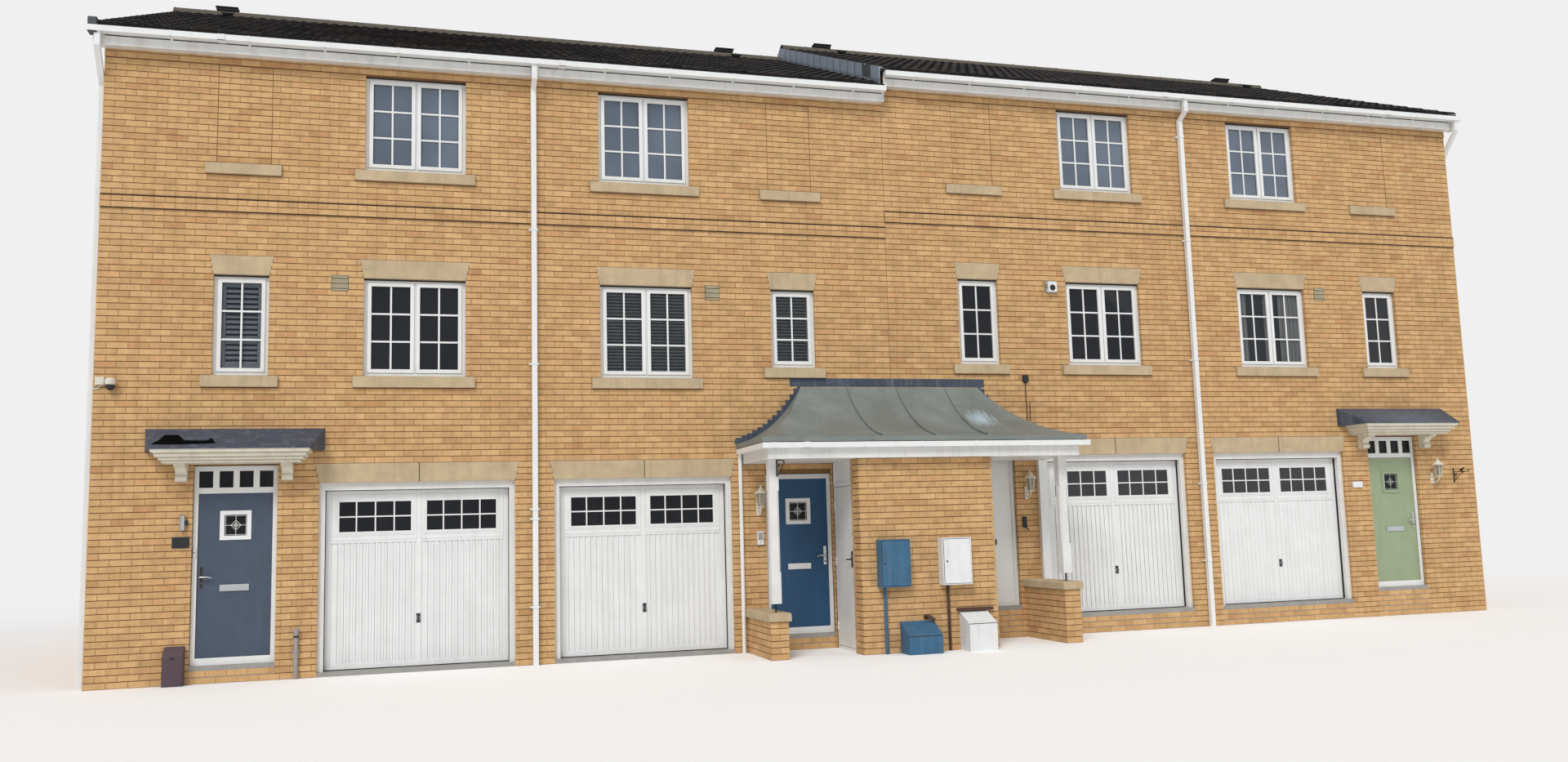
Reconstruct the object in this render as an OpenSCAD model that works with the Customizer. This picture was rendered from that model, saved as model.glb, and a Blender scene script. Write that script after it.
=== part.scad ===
// Row of four three-storey houses in two mirrored pairs; the right pair stands three courses higher.
// X runs along the front, Y into the houses, Z up. The origin is under the middle of the row.

/* [Row] */
// Width of a house, taken as a quarter of the row
house_w = 4840; // [4720:20:5200]
// Depth of a house from front face to rear face
house_d = 9000; // [7600:100:10400]
// Height step from the left pair to the right pair
pair_step = 225; // [150:75:300]
// Height of one brick course with its joint
course = 75; // [72:1:78]
// Thickness of the outer walls
wall_t = 300; // [260:10:350]
// Thickness of the walls between houses
party_t = 250; // [200:10:300]

/* [Levels] */
// Garage floor above the base
garage_floor = 50; // [40:5:90]
// Rise from the garage floor to the hall floor
hall_rise = 150; // [100:10:180]
// Head of the garage openings
garage_head = 2250; // [2200:10:2350]
// Top of the first floor
floor_1 = 2675; // [2650:5:2760]
// Top of the second floor
floor_2 = 5225; // [5180:5:5300]
// Thickness of the upper floors with their ceilings
floor_t = 250; // [200:10:255]
// Top of the first-floor sills
first_sill = 3525; // [3500:5:3600]
// Height of the windows
window_h = 1200; // [1050:25:1260]
// Top of the second-floor sills
top_sill = 6075; // [6000:5:6075]
// Top of the ground-floor sills at the rear
rear_sill = 1050; // [900:10:1050]

/* [Front openings] */
// Garage opening from the party line
garage_x = 235; // [200:5:300]
// Width of the garage openings
garage_w = 2270; // [2200:10:2340]
// Door frame from the party line
door_x = 2955; // [2900:5:3000]
// Width of the door frames
door_w = 910; // [880:5:960]
// Top of the end doors' frames, which have a transom light
end_door_top = 2475; // [2450:5:2500]
// Top of the middle doors' frames
mid_door_top = 2275; // [2260:5:2300]
// Wide windows from the party line
wide_x = 830; // [780:10:900]
// Width of the wide windows
wide_w = 1200; // [1100:10:1300]
// Narrow windows from the party line
narrow_x = 3090; // [3050:5:3150]
// Width of the narrow windows
narrow_w = 615; // [580:5:660]
// Depth of the blind windows
blind_deep = 25; // [15:5:40]

/* [Stone] */
// Height of the lintels
lintel_h = 225; // [200:5:225]
// Splay of a lintel's ends
splay = 42; // [30:2:60]
// Height of the sills
sill_h = 140; // [120:5:145]
// How far a sill reaches past its opening
sill_over = 112; // [80:2:130]
// How far a sill stands out of the wall
sill_out = 45; // [30:5:60]
// Depth of the stone into the wall
stone_deep = 100; // [90:5:110]
// How far a brick band stands out of the wall
band_out = 15; // [10:1:25]

/* [Roof] */
// Roof pitch in degrees
pitch = 24; // [22:0.5:30]
// Rise of the roof's underside at the wall face over the top window heads
eaves_rise = 325; // [285:5:405]
// Upright thickness of tiles and deck
roof_t = 90; // [80:5:110]
// Upright thickness of the deck, which ends at the wall's face
deck_t = 50; // [40:5:55]
// Overhang of the tiles past the wall face
eaves_out = 200; // [190:5:220]
// Overhang of the roof past the end walls
verge_out = 100; // [80:5:140]
// Number of tile courses on a slope
tile_rows = 15; // [12:1:18]
// Outer radius of the ridge tiles
ridge_r = 125; // [110:5:140]
// Height of the fascia boards
fascia_h = 200; // [180:5:200]
// Thickness of the fascia boards
fascia_t = 18; // [12:1:22]
// Depth of the soffit boards in front of the wall
soffit_d = 140; // [120:5:150]
// Width of the gutters
gutter_w = 112; // [100:2:125]
// Height of the gutters
gutter_h = 68; // [60:2:75]
// Side of the square downpipes
pipe = 65; // [60:1:75]

/* [Doors] */
// Thickness of the front doors
leaf_t = 44; // [40:1:50]
// Width of a door frame's jambs
jamb_w = 39; // [34:1:50]
// Cover of the frame over the door's edge
lip_w = 16; // [12:1:20]
// Radius of the hinge knuckles
knuckle_r = 6; // [5:0.5:7]
// Length of one hinge knuckle
knuckle_l = 32; // [26:1:38]
// Clearance at a seat
seat = 0.3; // [0.2:0.1:0.4]
// Clearance round a front door
leaf_gap = 8; // [7:0.5:9]
// Depth of the frames behind the wall face
recess = 60; // [40:5:80]
// Depth of the frames
frame_d = 70; // [60:5:90]
// Height of the transom lights
transom_h = 192; // [160:4:210]
// Side of the small window in a door
door_light = 335; // [280:5:380]

/* [Garage doors] */
// Width of the timber frame's jambs
garage_jamb = 70; // [60:5:90]
// Height of the timber frame's head
garage_rail = 90; // [80:5:110]
// Depth of the garage door
garage_leaf_t = 40; // [36:2:50]
// Spacing of the pressed ribs
rib_pitch = 70; // [60:5:100]
// Travel of the rollers along the tracks
travel = 2250; // [2240:10:2300]
// Radius of the rollers
roller_r = 18; // [15:1:22]
// Clearance of moving pieces
running = 6; // [5:0.5:8]

/* [Canopies] */
// Half width of a canopy's cornice at its foot
canopy_half = 728; // [650:2:760]
// Reach of the cornice at its foot
canopy_out = 370; // [320:5:420]
// Height of the cornice
cornice_h = 150; // [120:5:180]
// Width of the scroll brackets
bracket_w = 120; // [90:5:140]
// Height of the scroll brackets
bracket_h = 200; // [160:5:205]

/* [Porch] */
// Gap between the porch roof's edge and the stone head of a middle garage
porch_gap = 25.5; // [20:0.5:60]
// Half width of the porch roof against the wall
porch_top_half = 1280; // [1200:10:1360]
// Reach of the porch roof
porch_out = 1310; // [1290:5:1400]
// Height of the swept roof where it meets the wall
porch_top = 3418; // [3300:5:3450]
// Slope at the top of the sweep in degrees
sweep_top = 51; // [44:1:56]
// Slope at the eaves in degrees
sweep_foot = 9; // [4:1:14]
// Underside of the porch ceiling
porch_soffit = 2400; // [2380:5:2450]
// Half width of the brick store
store_half = 880; // [840:5:885]
// Reach of the brick store
store_out = 1100; // [1000:10:1130]
// Thickness of the store's walls
store_t = 100; // [95:5:120]
// Width of the store's door openings
store_door_w = 750; // [650:10:780]
// Dwarf walls' outer faces inside the porch roof's eaves
dwarf_in = 105; // [90:5:140]
// Thickness of the dwarf walls
dwarf_t = 215; // [200:5:225]
// How far a coping stands past its wall
coping_over = 35; // [25:5:38]
// Diameter of the porch's round downpipes
porch_pipe = 50; // [44:2:52]
// Top of the copings above the pair's base
coping_z = 555; // [500:5:600]
// Thickness of the copings
coping_h = 100; // [80:5:110]
// Side of the timber posts
post = 120; // [100:5:130]

/* [Hidden] */
$fn = 48;
front_y = -house_d / 2;
brick_tone = [0.72, 0.55, 0.36];
stone_tone = [0.70, 0.64, 0.48];
white_tone = [0.88, 0.88, 0.86];
lead_tone = [0.34, 0.37, 0.41];
tile_tone = [0.17, 0.15, 0.15];
door_tones = [[0.30, 0.36, 0.42], [0.17, 0.33, 0.46], [0.87, 0.87, 0.86], [0.59, 0.65, 0.50]];
houses = [0, 1, 2, 3];
first_head = first_sill + window_h;
top_head = top_sill + window_h;
roof_z = top_head + eaves_rise;
garage_lintel_top = garage_head + lintel_h;
hall_floor = garage_floor + hall_rise;
fascia_z = top_head + 90;
soffit_z = fascia_z + 10;
board_t = 9;
fascia_y = -soffit_d - fascia_t;
board_top = fascia_z + fascia_h;
gutter_top = board_top - 10;
gutter_y = fascia_y - gutter_w / 2;
slope = tan(pitch);
roof_ridge = roof_z + house_d / 2 * slope;
row_half = 2 * house_w;
// Rooms are alike in width, so an end house is wider by its thicker outer wall
party_x = house_w - (wall_t - party_t / 2) / 2;
porch_half = party_x - garage_x - garage_w - splay - porch_gap;
skin = 3;
dwarf_half = porch_half - dwarf_in;
eps = 1;

function pair_of(i) = i < 2 ? -1 : 1;
function side_of(i) = i % 2 == 0 ? -1 : 1;
function level_of(i) = i < 2 ? 0 : pair_step;
function pair_level(p) = p < 0 ? 0 : pair_step;
function in_pair(p) = p < 0 ? [0, 1] : [2, 3];
function is_end(i) = i == 0 || i == 3;
function door_top(i) = is_end(i) ? end_door_top : mid_door_top;
function house_end(i) = is_end(i) ? row_half - party_x : party_x;
function narrow_sill(i) = i == 1 ? first_sill + 2 * course : first_sill;
function under(y) = roof_z + min(y, house_d - y) * slope;
function wall_top(y) = under(y) - seat;
function tile_under(y) = under(y) + deck_t;
function tile_top(y) = under(y) + roof_t;
// Openings of a front as [x, width, sill, head]
function front_windows(i) = [[wide_x, wide_w, first_sill, first_head],
  [narrow_x, narrow_w, narrow_sill(i), first_head],
  [wide_x, wide_w, top_sill, top_head]];
function rear_windows() = [for (z = [rear_sill, first_sill, top_sill])
  for (w = [[wide_x, wide_w], [narrow_x, narrow_w]]) [w[0], w[1], z, z + window_h]];

// A box from its low corner to its high corner
module block(a, b) translate(a) cube(b - a);
// A figure in the X-Z plane made solid from y0 to y1
module upright(y0, y1) translate([0, y1, 0]) rotate([90, 0, 0]) linear_extrude(y1 - y0) children();
// A figure in the Y-Z plane made solid from x0 to x1
module along(x0, x1) translate([x0, 0, 0]) rotate([90, 0, 90]) linear_extrude(x1 - x0) children();
module flip_x(on) {
  if (on) mirror([1, 0, 0]) children();
  else children();
}
// Places a house's front: x from its party line, y from the wall face, z from the pair's base
module at_house(i) translate([pair_of(i) * party_x, front_y, level_of(i)])
  flip_x(side_of(i) < 0) children();
module at_rear(i) translate([pair_of(i) * party_x, -front_y, level_of(i)])
  mirror([0, 1, 0]) flip_x(side_of(i) < 0) children();
module at_pair(p) translate([p < 0 ? -row_half : 0, front_y, pair_level(p)]) children();

// Outer walls
module splayed(x, w, z) polygon([[x, z], [x + w, z], [x + w + splay, z + lintel_h],
  [x - splay, z + lintel_h]]);
module window_cut(w, lintel) {
  block([w[0], -50, w[2]], [w[0] + w[1], wall_t + 50, w[3]]);
  sill_pocket(w[0], w[1], w[2]);
  if (lintel) upright(-50, stone_deep) splayed(w[0], w[1], w[3]);
}
module sill_pocket(x, w, z)
  block([x - sill_over, -50, z - sill_h], [x + w + sill_over, stone_deep, z]);
module brick_band(z) block([0, -band_out, z], [row_half, eps, z + 2 * course]);
module front_wall(p) difference() {
  at_pair(p) {
    along(0, row_half) polygon([[0, garage_head], [wall_t, garage_head],
      [wall_t, wall_top(wall_t)], [0, wall_top(0)]]);
    brick_band(garage_lintel_top + 40 * course);
    brick_band(top_head);
  }
  for (i = in_pair(p)) at_house(i) {
    for (w = front_windows(i)) window_cut(w, w[3] < top_head);
    block([narrow_x, -50, top_sill], [narrow_x + narrow_w, blind_deep, top_head]);
    sill_pocket(narrow_x, narrow_w, top_sill);
    upright(-50, stone_deep) splayed(garage_x, garage_w, garage_head);
    block([door_x, -50, garage_head - eps], [door_x + door_w, wall_t + 50, door_top(i)]);
  }
}
module front_piers() color(brick_tone) for (i = houses) at_house(i)
  for (r = [[0, garage_x], [garage_x + garage_w, door_x], [door_x + door_w, house_end(i)]])
    block([r[0], 0, -level_of(i)], [r[1], wall_t, garage_head]);
module rear_wall(p) difference() {
  at_pair(p) translate([0, house_d, 0]) mirror([0, 1, 0]) {
    along(0, row_half) polygon([[0, -pair_level(p)], [wall_t, -pair_level(p)],
      [wall_t, wall_top(wall_t)], [0, wall_top(0)]]);
    brick_band(garage_lintel_top + 40 * course);
    brick_band(top_head);
  }
  for (i = in_pair(p)) at_rear(i) for (w = rear_windows()) window_cut(w, w[3] < top_head);
}
// Upright slab between front and rear walls that follows the roof's underside
module cross_wall(x0, x1, level) translate([0, front_y, level]) along(x0, x1)
  polygon([[wall_t, -level], [house_d - wall_t, -level], [house_d - wall_t, wall_top(wall_t)],
    [house_d / 2, wall_top(house_d / 2)], [wall_t, wall_top(wall_t)]]);
module end_walls() color(brick_tone) {
  cross_wall(-row_half, -row_half + wall_t, 0);
  cross_wall(row_half - wall_t, row_half, pair_step);
}
module party_walls() color(brick_tone) {
  cross_wall(-party_x - party_t / 2, -party_x + party_t / 2, 0);
  cross_wall(-party_t / 2, 0, 0);
  cross_wall(0, party_t / 2, pair_step);
  cross_wall(party_x - party_t / 2, party_x + party_t / 2, pair_step);
}

// Floors
function room_end(i) = house_end(i) - (is_end(i) ? wall_t : party_t / 2);
hall_x = (garage_x + garage_w + door_x) / 2;
module ground_slabs() color([0.55, 0.54, 0.52]) for (i = houses) at_house(i) {
  block([party_t / 2, wall_t, -level_of(i)], [room_end(i), house_d - wall_t, garage_floor]);
  block([hall_x, wall_t, -level_of(i)], [room_end(i), house_d - wall_t, hall_floor]);
  block([garage_x, 0, -level_of(i)], [garage_x + garage_w, wall_t + eps, garage_floor]);
  block([door_x, 0, -level_of(i)], [door_x + door_w, wall_t + eps, hall_floor]);
}
module upper_floors() color([0.62, 0.52, 0.40]) for (i = houses) at_house(i)
  for (z = [floor_1, floor_2])
    block([party_t / 2, wall_t, z - floor_t], [room_end(i), house_d - wall_t, z]);

// Roof
module roof_shell(x0, x1, level) translate([0, front_y, level]) along(x0, x1)
  polygon([[-eaves_out, tile_under(-eaves_out)], [0, tile_under(0)], [0, under(0)],
    [house_d / 2, roof_ridge], [house_d, under(0)], [house_d, tile_under(0)],
    [house_d + eaves_out, tile_under(-eaves_out)], [house_d + eaves_out, tile_top(-eaves_out)],
    [house_d / 2, roof_ridge + roof_t], [-eaves_out, tile_top(-eaves_out)]]);
verge_in = 60;
module left_roof() color(tile_tone) roof_shell(-row_half - verge_out, 0, 0);
module right_roof() color(tile_tone) roof_shell(-verge_in, row_half + verge_out, pair_step);
ridge_in = ridge_r - 16;
ridge_axis = roof_ridge + roof_t - ridge_in * slope;
module ridge_run(x0, x1, level) translate([0, 0, level + ridge_axis]) along(x0, x1) difference() {
  circle(ridge_r);
  circle(ridge_in);
  translate([-2 * ridge_r, -4 * ridge_r]) square(4 * ridge_r);
}
module ridge_tiles() color([0.38, 0.36, 0.33]) {
  ridge_run(-row_half - verge_out, -upstand_t, 0);
  ridge_run(-verge_in, row_half + verge_out, pair_step);
}
// Ridge terminals and round slope vents, as distances in from each house's far side
terminal_x = [650, 1100, 690, 760];
terminal_l = 300;
slope_vent_x = [700, 970, 950, 400];
slope_vent_drop = 330;
slope_vent_r = 70;
module roof_vents() color([0.20, 0.19, 0.19]) for (i = houses) {
  s = side_of(i);
  x = pair_of(i) * party_x + s * (house_end(i) - terminal_x[i]);
  translate([x, 0, level_of(i) + ridge_axis + ridge_r]) {
    block([-terminal_l / 2, -70, 0], [terminal_l / 2, 70, 45]);
    block([-terminal_l / 2 - 12, -82, 45], [terminal_l / 2 + 12, 82, 60]);
  }
  translate([x + s * (terminal_x[i] - slope_vent_x[i]), 0, level_of(i) + roof_ridge + roof_t])
    rotate([pitch, 0, 0]) translate([0, -slope_vent_drop, 0]) {
      cylinder(h = 55, r = slope_vent_r);
      translate([0, 0, 55]) cylinder(h = 22, r = slope_vent_r + 22);
    }
}
// Dry verge units where the higher roof overhangs the lower one
row_run = (house_d / 2 + eaves_out) / tile_rows;
verge_lift = 22;
verge_drop = 118;
function verge_line(lift) = [for (k = [0:tile_rows - 1]) let (y = -eaves_out + k * row_run)
  each [[y, tile_top(y) + lift], [y + row_run, tile_top(y + row_run) + lift - 14]]];
function flat_line(drop) = [[house_d / 2, tile_top(house_d / 2) - drop],
  [-eaves_out, tile_top(-eaves_out) - drop]];
module both_slopes() {
  children();
  mirror([0, 1, 0]) children();
}
module verge_units() color([0.33, 0.36, 0.42]) both_slopes() translate([0, front_y, pair_step]) {
  along(-verge_in - 18, -verge_in) polygon(concat(verge_line(verge_lift), flat_line(verge_drop)));
  along(-verge_in - eps, 40) difference() {
    polygon(concat(verge_line(verge_lift), flat_line(0)));
    translate([house_d / 2 - ridge_r - 5, 0]) square([ridge_r * 2, 2 * roof_ridge]);
  }
}

// Lead: joint of the two roofs, porch and canopies
upstand_t = 6;
soaker_w = 150;
soaker_tooth = 45;
module roof_joint_lead() both_slopes() translate([0, front_y, seat]) {
  intersection() {
    along(-soaker_w - soaker_tooth, 0) polygon([[0, tile_top(0)],
      [house_d / 2 - ridge_r - 20, tile_top(house_d / 2 - ridge_r - 20)],
      [house_d / 2 - ridge_r - 20, tile_top(house_d / 2 - ridge_r - 20) + upstand_t],
      [0, tile_top(0) + upstand_t]]);
    linear_extrude(2 * roof_ridge) polygon(concat([[eps, -eaves_out]], [for (k = [0:tile_rows - 1])
      let (y = -eaves_out + k * row_run) each [[-soaker_w - soaker_tooth, y],
        [-soaker_w, y + row_run]]], [[eps, house_d / 2]]));
  }
  along(-upstand_t, 0) polygon([[0, tile_top(0)],
    [house_d / 2 - ridge_r - 20, tile_top(house_d / 2 - ridge_r - 20)],
    [house_d / 2 - ridge_r - 20, under(house_d / 2 - ridge_r - 20) + pair_step - 2 * seat],
    [0, under(0) + pair_step - 2 * seat]]);
}

// Sweep of the porch roof: an arc from the wall (t = 0) to the eaves (t = 1)
sweep_steps = 14;
sweep_r = porch_out / (sin(sweep_top) - sin(sweep_foot));
function sweep_angle(t) = sweep_top + (sweep_foot - sweep_top) * t;
function sweep_run(t) = sweep_r * (sin(sweep_top) - sin(sweep_angle(t)));
function sweep_fall(t) = sweep_r * (cos(sweep_angle(t)) - cos(sweep_top));
side_share = (porch_half - porch_top_half) / porch_out;
porch_eaves = porch_top - sweep_fall(1);
drip = 60;
rim_in = 98;
sheet = 30;
module sweep_front(lift, inset) polygon(concat([[0, porch_eaves - drip]],
  [[inset - porch_out, porch_eaves - drip]],
  [for (k = [sweep_steps:-1:0]) let (t = k / sweep_steps)
    [max(inset - porch_out, -sweep_run(t)), porch_top - sweep_fall(t) + lift]]));
module sweep_side(lift, inset) for (s = [0, 1]) mirror([s, 0]) polygon(concat(
  [[0, porch_eaves - drip], [porch_half - inset, porch_eaves - drip]],
  [for (k = [sweep_steps:-1:0]) let (t = k / sweep_steps)
    [min(porch_half - inset, porch_top_half + side_share * sweep_run(t)),
      porch_top - sweep_fall(t) + lift]],
  [[0, porch_top + lift]]));
module swept_hip(lift, inset) intersection() {
  along(-porch_half, porch_half) sweep_front(lift, inset);
  upright(-porch_out, 0) sweep_side(lift, inset);
}
roll_x = [-620, 90, 800];
roll_w = 36;
roll_h = 24;
module roof_roll(x) along(x - roll_w / 2, x + roll_w / 2) polygon(concat(
  [for (k = [0:sweep_steps]) let (t = k / sweep_steps)
    [min(-sweep_run(t), -upstand_t - seat), porch_top - sweep_fall(t) + roll_h * (k == 0 ? 0.2 : 1)]],
  [for (k = [sweep_steps:-1:0]) let (t = k / sweep_steps)
    [min(-sweep_run(t), -upstand_t - seat), porch_top - sweep_fall(t) - sheet / 2]]));
module porch_roof() color([0.42, 0.44, 0.42]) translate([0, front_y, 0]) {
  difference() {
    swept_hip(0, 0);
    translate([0, 0, -eps]) swept_hip(-sheet, rim_in);
  }
  for (x = roll_x) roof_roll(x);
}
// Lead over the porch: a strip along its top and stepped pieces up both sides
lead_over = 65;
lead_tail = porch_gap - 10;
function side_x(t) = porch_top_half + side_share * sweep_run(t);
module porch_lead() translate([0, front_y, 0]) upright(-upstand_t, 0) {
  translate([-porch_top_half - 150, porch_top + seat]) square([2 * porch_top_half + 250, 115]);
  for (s = [0, 1]) mirror([s, 0]) polygon(concat(
    [for (k = [0:sweep_steps]) let (t = k / sweep_steps)
      [side_x(t), porch_top - sweep_fall(t) + seat]],
    [[porch_half + lead_tail, porch_eaves + seat], [porch_half + lead_tail, porch_eaves + lead_over]],
    [for (k = [sweep_steps:-1:1]) let (t = k / sweep_steps, u = (k - 1) / sweep_steps)
      each [[side_x(t), porch_top - sweep_fall(t) + lead_over],
        [side_x(t), porch_top - sweep_fall(u) + lead_over]]],
    [[side_x(0), porch_top + lead_over]]));
}
canopy_x = door_x + door_w / 2;
cornice_z = end_door_top + 10;
cornice_top = cornice_z + cornice_h;
cornice_reach = canopy_out + 105;
canopy_lead_rise = 262;
module canopy_lead() translate([canopy_x, 0, 0]) intersection() {
  along(-2 * canopy_half, 2 * canopy_half) polygon([[0, cornice_top],
    [-cornice_reach - 10, cornice_top], [-cornice_reach - 10, cornice_top + 16],
    [-30, cornice_top + canopy_lead_rise - 10], [0, cornice_top + canopy_lead_rise]]);
  linear_extrude(2 * end_door_top) polygon([[-canopy_half - 240, 0], [canopy_half + 240, 0],
    [canopy_half + 115, -cornice_reach - 10], [-canopy_half - 115, -cornice_reach - 10]]);
}
module lead_flashings() color(lead_tone) {
  roof_joint_lead();
  porch_lead();
  for (i = [0, 3]) at_house(i) canopy_lead();
}

// Boxed eaves
module eaves_box(x0, x1, level) translate([0, front_y, level]) {
  block([x0, fascia_y, fascia_z], [x1, -soffit_d, board_top]);
  block([x0, -soffit_d - eps, soffit_z], [x1, -band_out, soffit_z + board_t]);
}
module eaves_cheek(x, level) translate([x, front_y, level]) along(-board_t, 0)
  polygon([[fascia_y, fascia_z], [-band_out, fascia_z], [-band_out, tile_under(-band_out)],
    [fascia_y, tile_under(fascia_y)]]);
porch_fascia_x = porch_half - rim_in;
porch_fascia_y = rim_in - porch_out;
module porch_boards() translate([0, front_y, 0]) {
  difference() {
    block([-porch_fascia_x - fascia_t, porch_fascia_y - fascia_t, porch_soffit],
      [porch_fascia_x + fascia_t, -eps, porch_eaves - drip - seat]);
    block([-porch_fascia_x, porch_fascia_y, porch_soffit + board_t],
      [porch_fascia_x, wall_t, porch_eaves]);
  }
}
module eaves_boards() color(white_tone) {
  both_slopes() {
    eaves_box(-row_half - verge_out, 0, 0);
    eaves_box(0, row_half + verge_out, pair_step);
    eaves_cheek(-row_half - verge_out + board_t, 0);
    eaves_cheek(row_half + verge_out, pair_step);
  }
  porch_boards();
}

// Rainwater goods
module gutter_shape(w, h) difference() {
  translate([-w / 2, -h]) square([w, h]);
  translate([-w / 2 + skin, skin - h]) square([w - 2 * skin, h]);
}
module gutter(x0, x1, y, z, w, h) translate([0, y, z]) {
  along(x0, x1) gutter_shape(w, h);
  for (x = [x0, x1 - skin]) block([x, -w / 2, -h], [x + skin, w / 2, 0]);
}
gutter_past = 40;
porch_gutter_w = 76;
porch_gutter_h = 66;
porch_gutter_z = porch_eaves - drip - 8;
porch_gutter_y = porch_fascia_y - fascia_t - porch_gutter_w / 2;
module porch_gutter() translate([0, front_y, 0]) {
  gutter(-porch_fascia_x - fascia_t - porch_gutter_w, porch_half + 50, porch_gutter_y,
    porch_gutter_z, porch_gutter_w, porch_gutter_h);
  for (s = [-1, 1]) translate([s * porch_pipe_x, 0, porch_gutter_z])
    upright(porch_gutter_y + porch_gutter_w / 2 - eps, -skin) gutter_shape(porch_gutter_w, porch_gutter_h);
}
module gutters() color(white_tone) {
  both_slopes() translate([0, front_y, 0]) {
    gutter(-row_half - verge_out - gutter_past, 0, gutter_y, gutter_top, gutter_w, gutter_h);
    gutter(0, row_half + verge_out + gutter_past, gutter_y, gutter_top + pair_step, gutter_w, gutter_h);
  }
  porch_gutter();
}
// A square pipe that runs from y_a at the gutter to y_b on the wall, seen from the side
module neck_pipe(x, y_a, y_b, z_top, z_a, z_b, z_foot) let (h = pipe / 2)
  along(x - h, x + h) polygon([[y_a - h, z_top], [y_a + h, z_top], [y_a + h, z_a], [y_b + h, z_b],
    [y_b + h, z_foot], [y_b - h, z_foot], [y_b - h, z_b], [y_a - h, z_a]]);
pipe_off = 8;
module roof_pipe(x, level) translate([x, front_y, level]) neck_pipe(0, gutter_y,
  -band_out - pipe_off - pipe / 2, gutter_top - gutter_h, fascia_z - 60, top_head - 60, -level);
module corner_pipe(x, level) translate([x, front_y, level]) neck_pipe(0, gutter_y, 100,
  gutter_top - gutter_h, fascia_z - 40, fascia_z - 420, -level);
casing_w = 125;
casing_d = 70;
porch_pipe_x = porch_fascia_x + fascia_t + porch_gutter_w / 2;
module downpipes() color(white_tone) {
  both_slopes() {
    roof_pipe(-party_x, 0);
    roof_pipe(party_x, pair_step);
  }
  corner_pipe(-row_half - pipe_off - pipe / 2, 0);
  corner_pipe(row_half + pipe_off + pipe / 2, pair_step);
  translate([0, front_y, 0]) {
    translate([-porch_pipe_x, -porch_pipe / 2 - pipe_off, 0])
      cylinder(h = porch_gutter_z - porch_gutter_h, d = porch_pipe);
    block([party_x - garage_x - garage_w - casing_w - seat, -casing_d, 0],
      [party_x - garage_x - garage_w - seat, 0, porch_soffit]);
  }
}

// Stone
module sill(x, w, z) along(x - sill_over, x + w + sill_over) polygon([[-sill_out, z - sill_h],
  [stone_deep, z - sill_h], [stone_deep, z], [0, z], [-sill_out, z - 14]]);
module window_sills() color(stone_tone) for (i = houses) {
  at_house(i) {
    for (w = front_windows(i)) sill(w[0], w[1], w[2]);
    sill(narrow_x, narrow_w, top_sill);
  }
  at_rear(i) for (w = rear_windows()) sill(w[0], w[1], w[2]);
}
stone_proud = 6;
lintel_joint = 4;
module stone_lintels() color(stone_tone) for (i = houses) {
  at_house(i) {
    for (w = front_windows(i)) if (w[3] < top_head)
      upright(-stone_proud, stone_deep) splayed(w[0], w[1], w[3]);
    upright(-stone_proud, stone_deep) difference() {
      splayed(garage_x, garage_w, garage_head);
      translate([garage_x + (garage_w - lintel_joint) / 2, garage_head - eps])
        square([lintel_joint, lintel_h + 2 * eps]);
    }
  }
  at_rear(i) for (w = rear_windows()) if (w[3] < top_head)
    upright(-stone_proud, stone_deep) splayed(w[0], w[1], w[3]);
}

// Casement windows: outer frame, sashes that stand forward, one pane behind
frame_w = 45;
sash_w = 45;
sash_out = 12;
module casement(w) let (n = w[1] > 2 * narrow_w - 100 ? 2 : 1, h = w[3] - w[2],
  inner = w[1] - 2 * frame_w, part = (inner - (n - 1) * frame_w / 2) / n) {
  translate([w[0], recess, w[2]]) difference() {
    union() {
      block([0, 0, 0], [w[1], frame_d, h]);
      for (k = [0:n - 1]) translate([frame_w + k * (part + frame_w / 2), -sash_out, frame_w])
        cube([part, sash_out + eps, h - 2 * frame_w]);
    }
    for (k = [0:n - 1]) translate([frame_w + sash_w + k * (part + frame_w / 2), -50, frame_w + sash_w])
      cube([part - 2 * sash_w, frame_d + 100, h - 2 * frame_w - 2 * sash_w]);
  }
}
pane_t = 20;
module pane(w) block([w[0] + 15, recess + frame_d, w[2] + 15],
  [w[0] + w[1] - 15, recess + frame_d + pane_t, w[3] - 15]);
module window_frames() color(white_tone) for (i = houses) {
  at_house(i) for (w = front_windows(i)) casement(w);
  at_rear(i) for (w = rear_windows()) casement(w);
}
module window_glass() color([0.20, 0.23, 0.26]) for (i = houses) {
  at_house(i) {
    for (w = front_windows(i)) pane(w);
    if (is_end(i)) pane([door_x + jamb_w - 10, door_w - 2 * jamb_w + 20, transom_z, end_door_top - 20]);
  }
  at_rear(i) for (w = rear_windows()) pane(w);
}
vent_x = 2300;
vent_z = first_head - 75;
vent_side = 185;
module air_vents() color([0.62, 0.57, 0.45]) for (i = houses) at_house(i) {
  s = vent_side / 2;
  if (i == 2) translate([vent_x, 0, vent_z]) {
    block([-s * 0.65, -14, -s * 0.65], [s * 0.65, 0, s * 0.65]);
    rotate([90, 0, 0]) cylinder(h = 60, r = s * 0.5);
    translate([0, -60, 0]) rotate([90, 0, 0]) cylinder(h = 6, r = s * 0.62);
  }
  else for (k = [0:5]) block([vent_x - s, -8 - 6 * (k % 2), vent_z - s + k * s / 3],
    [vent_x + s, 0, vent_z - s + (k + 1) * s / 3]);
}

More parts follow.
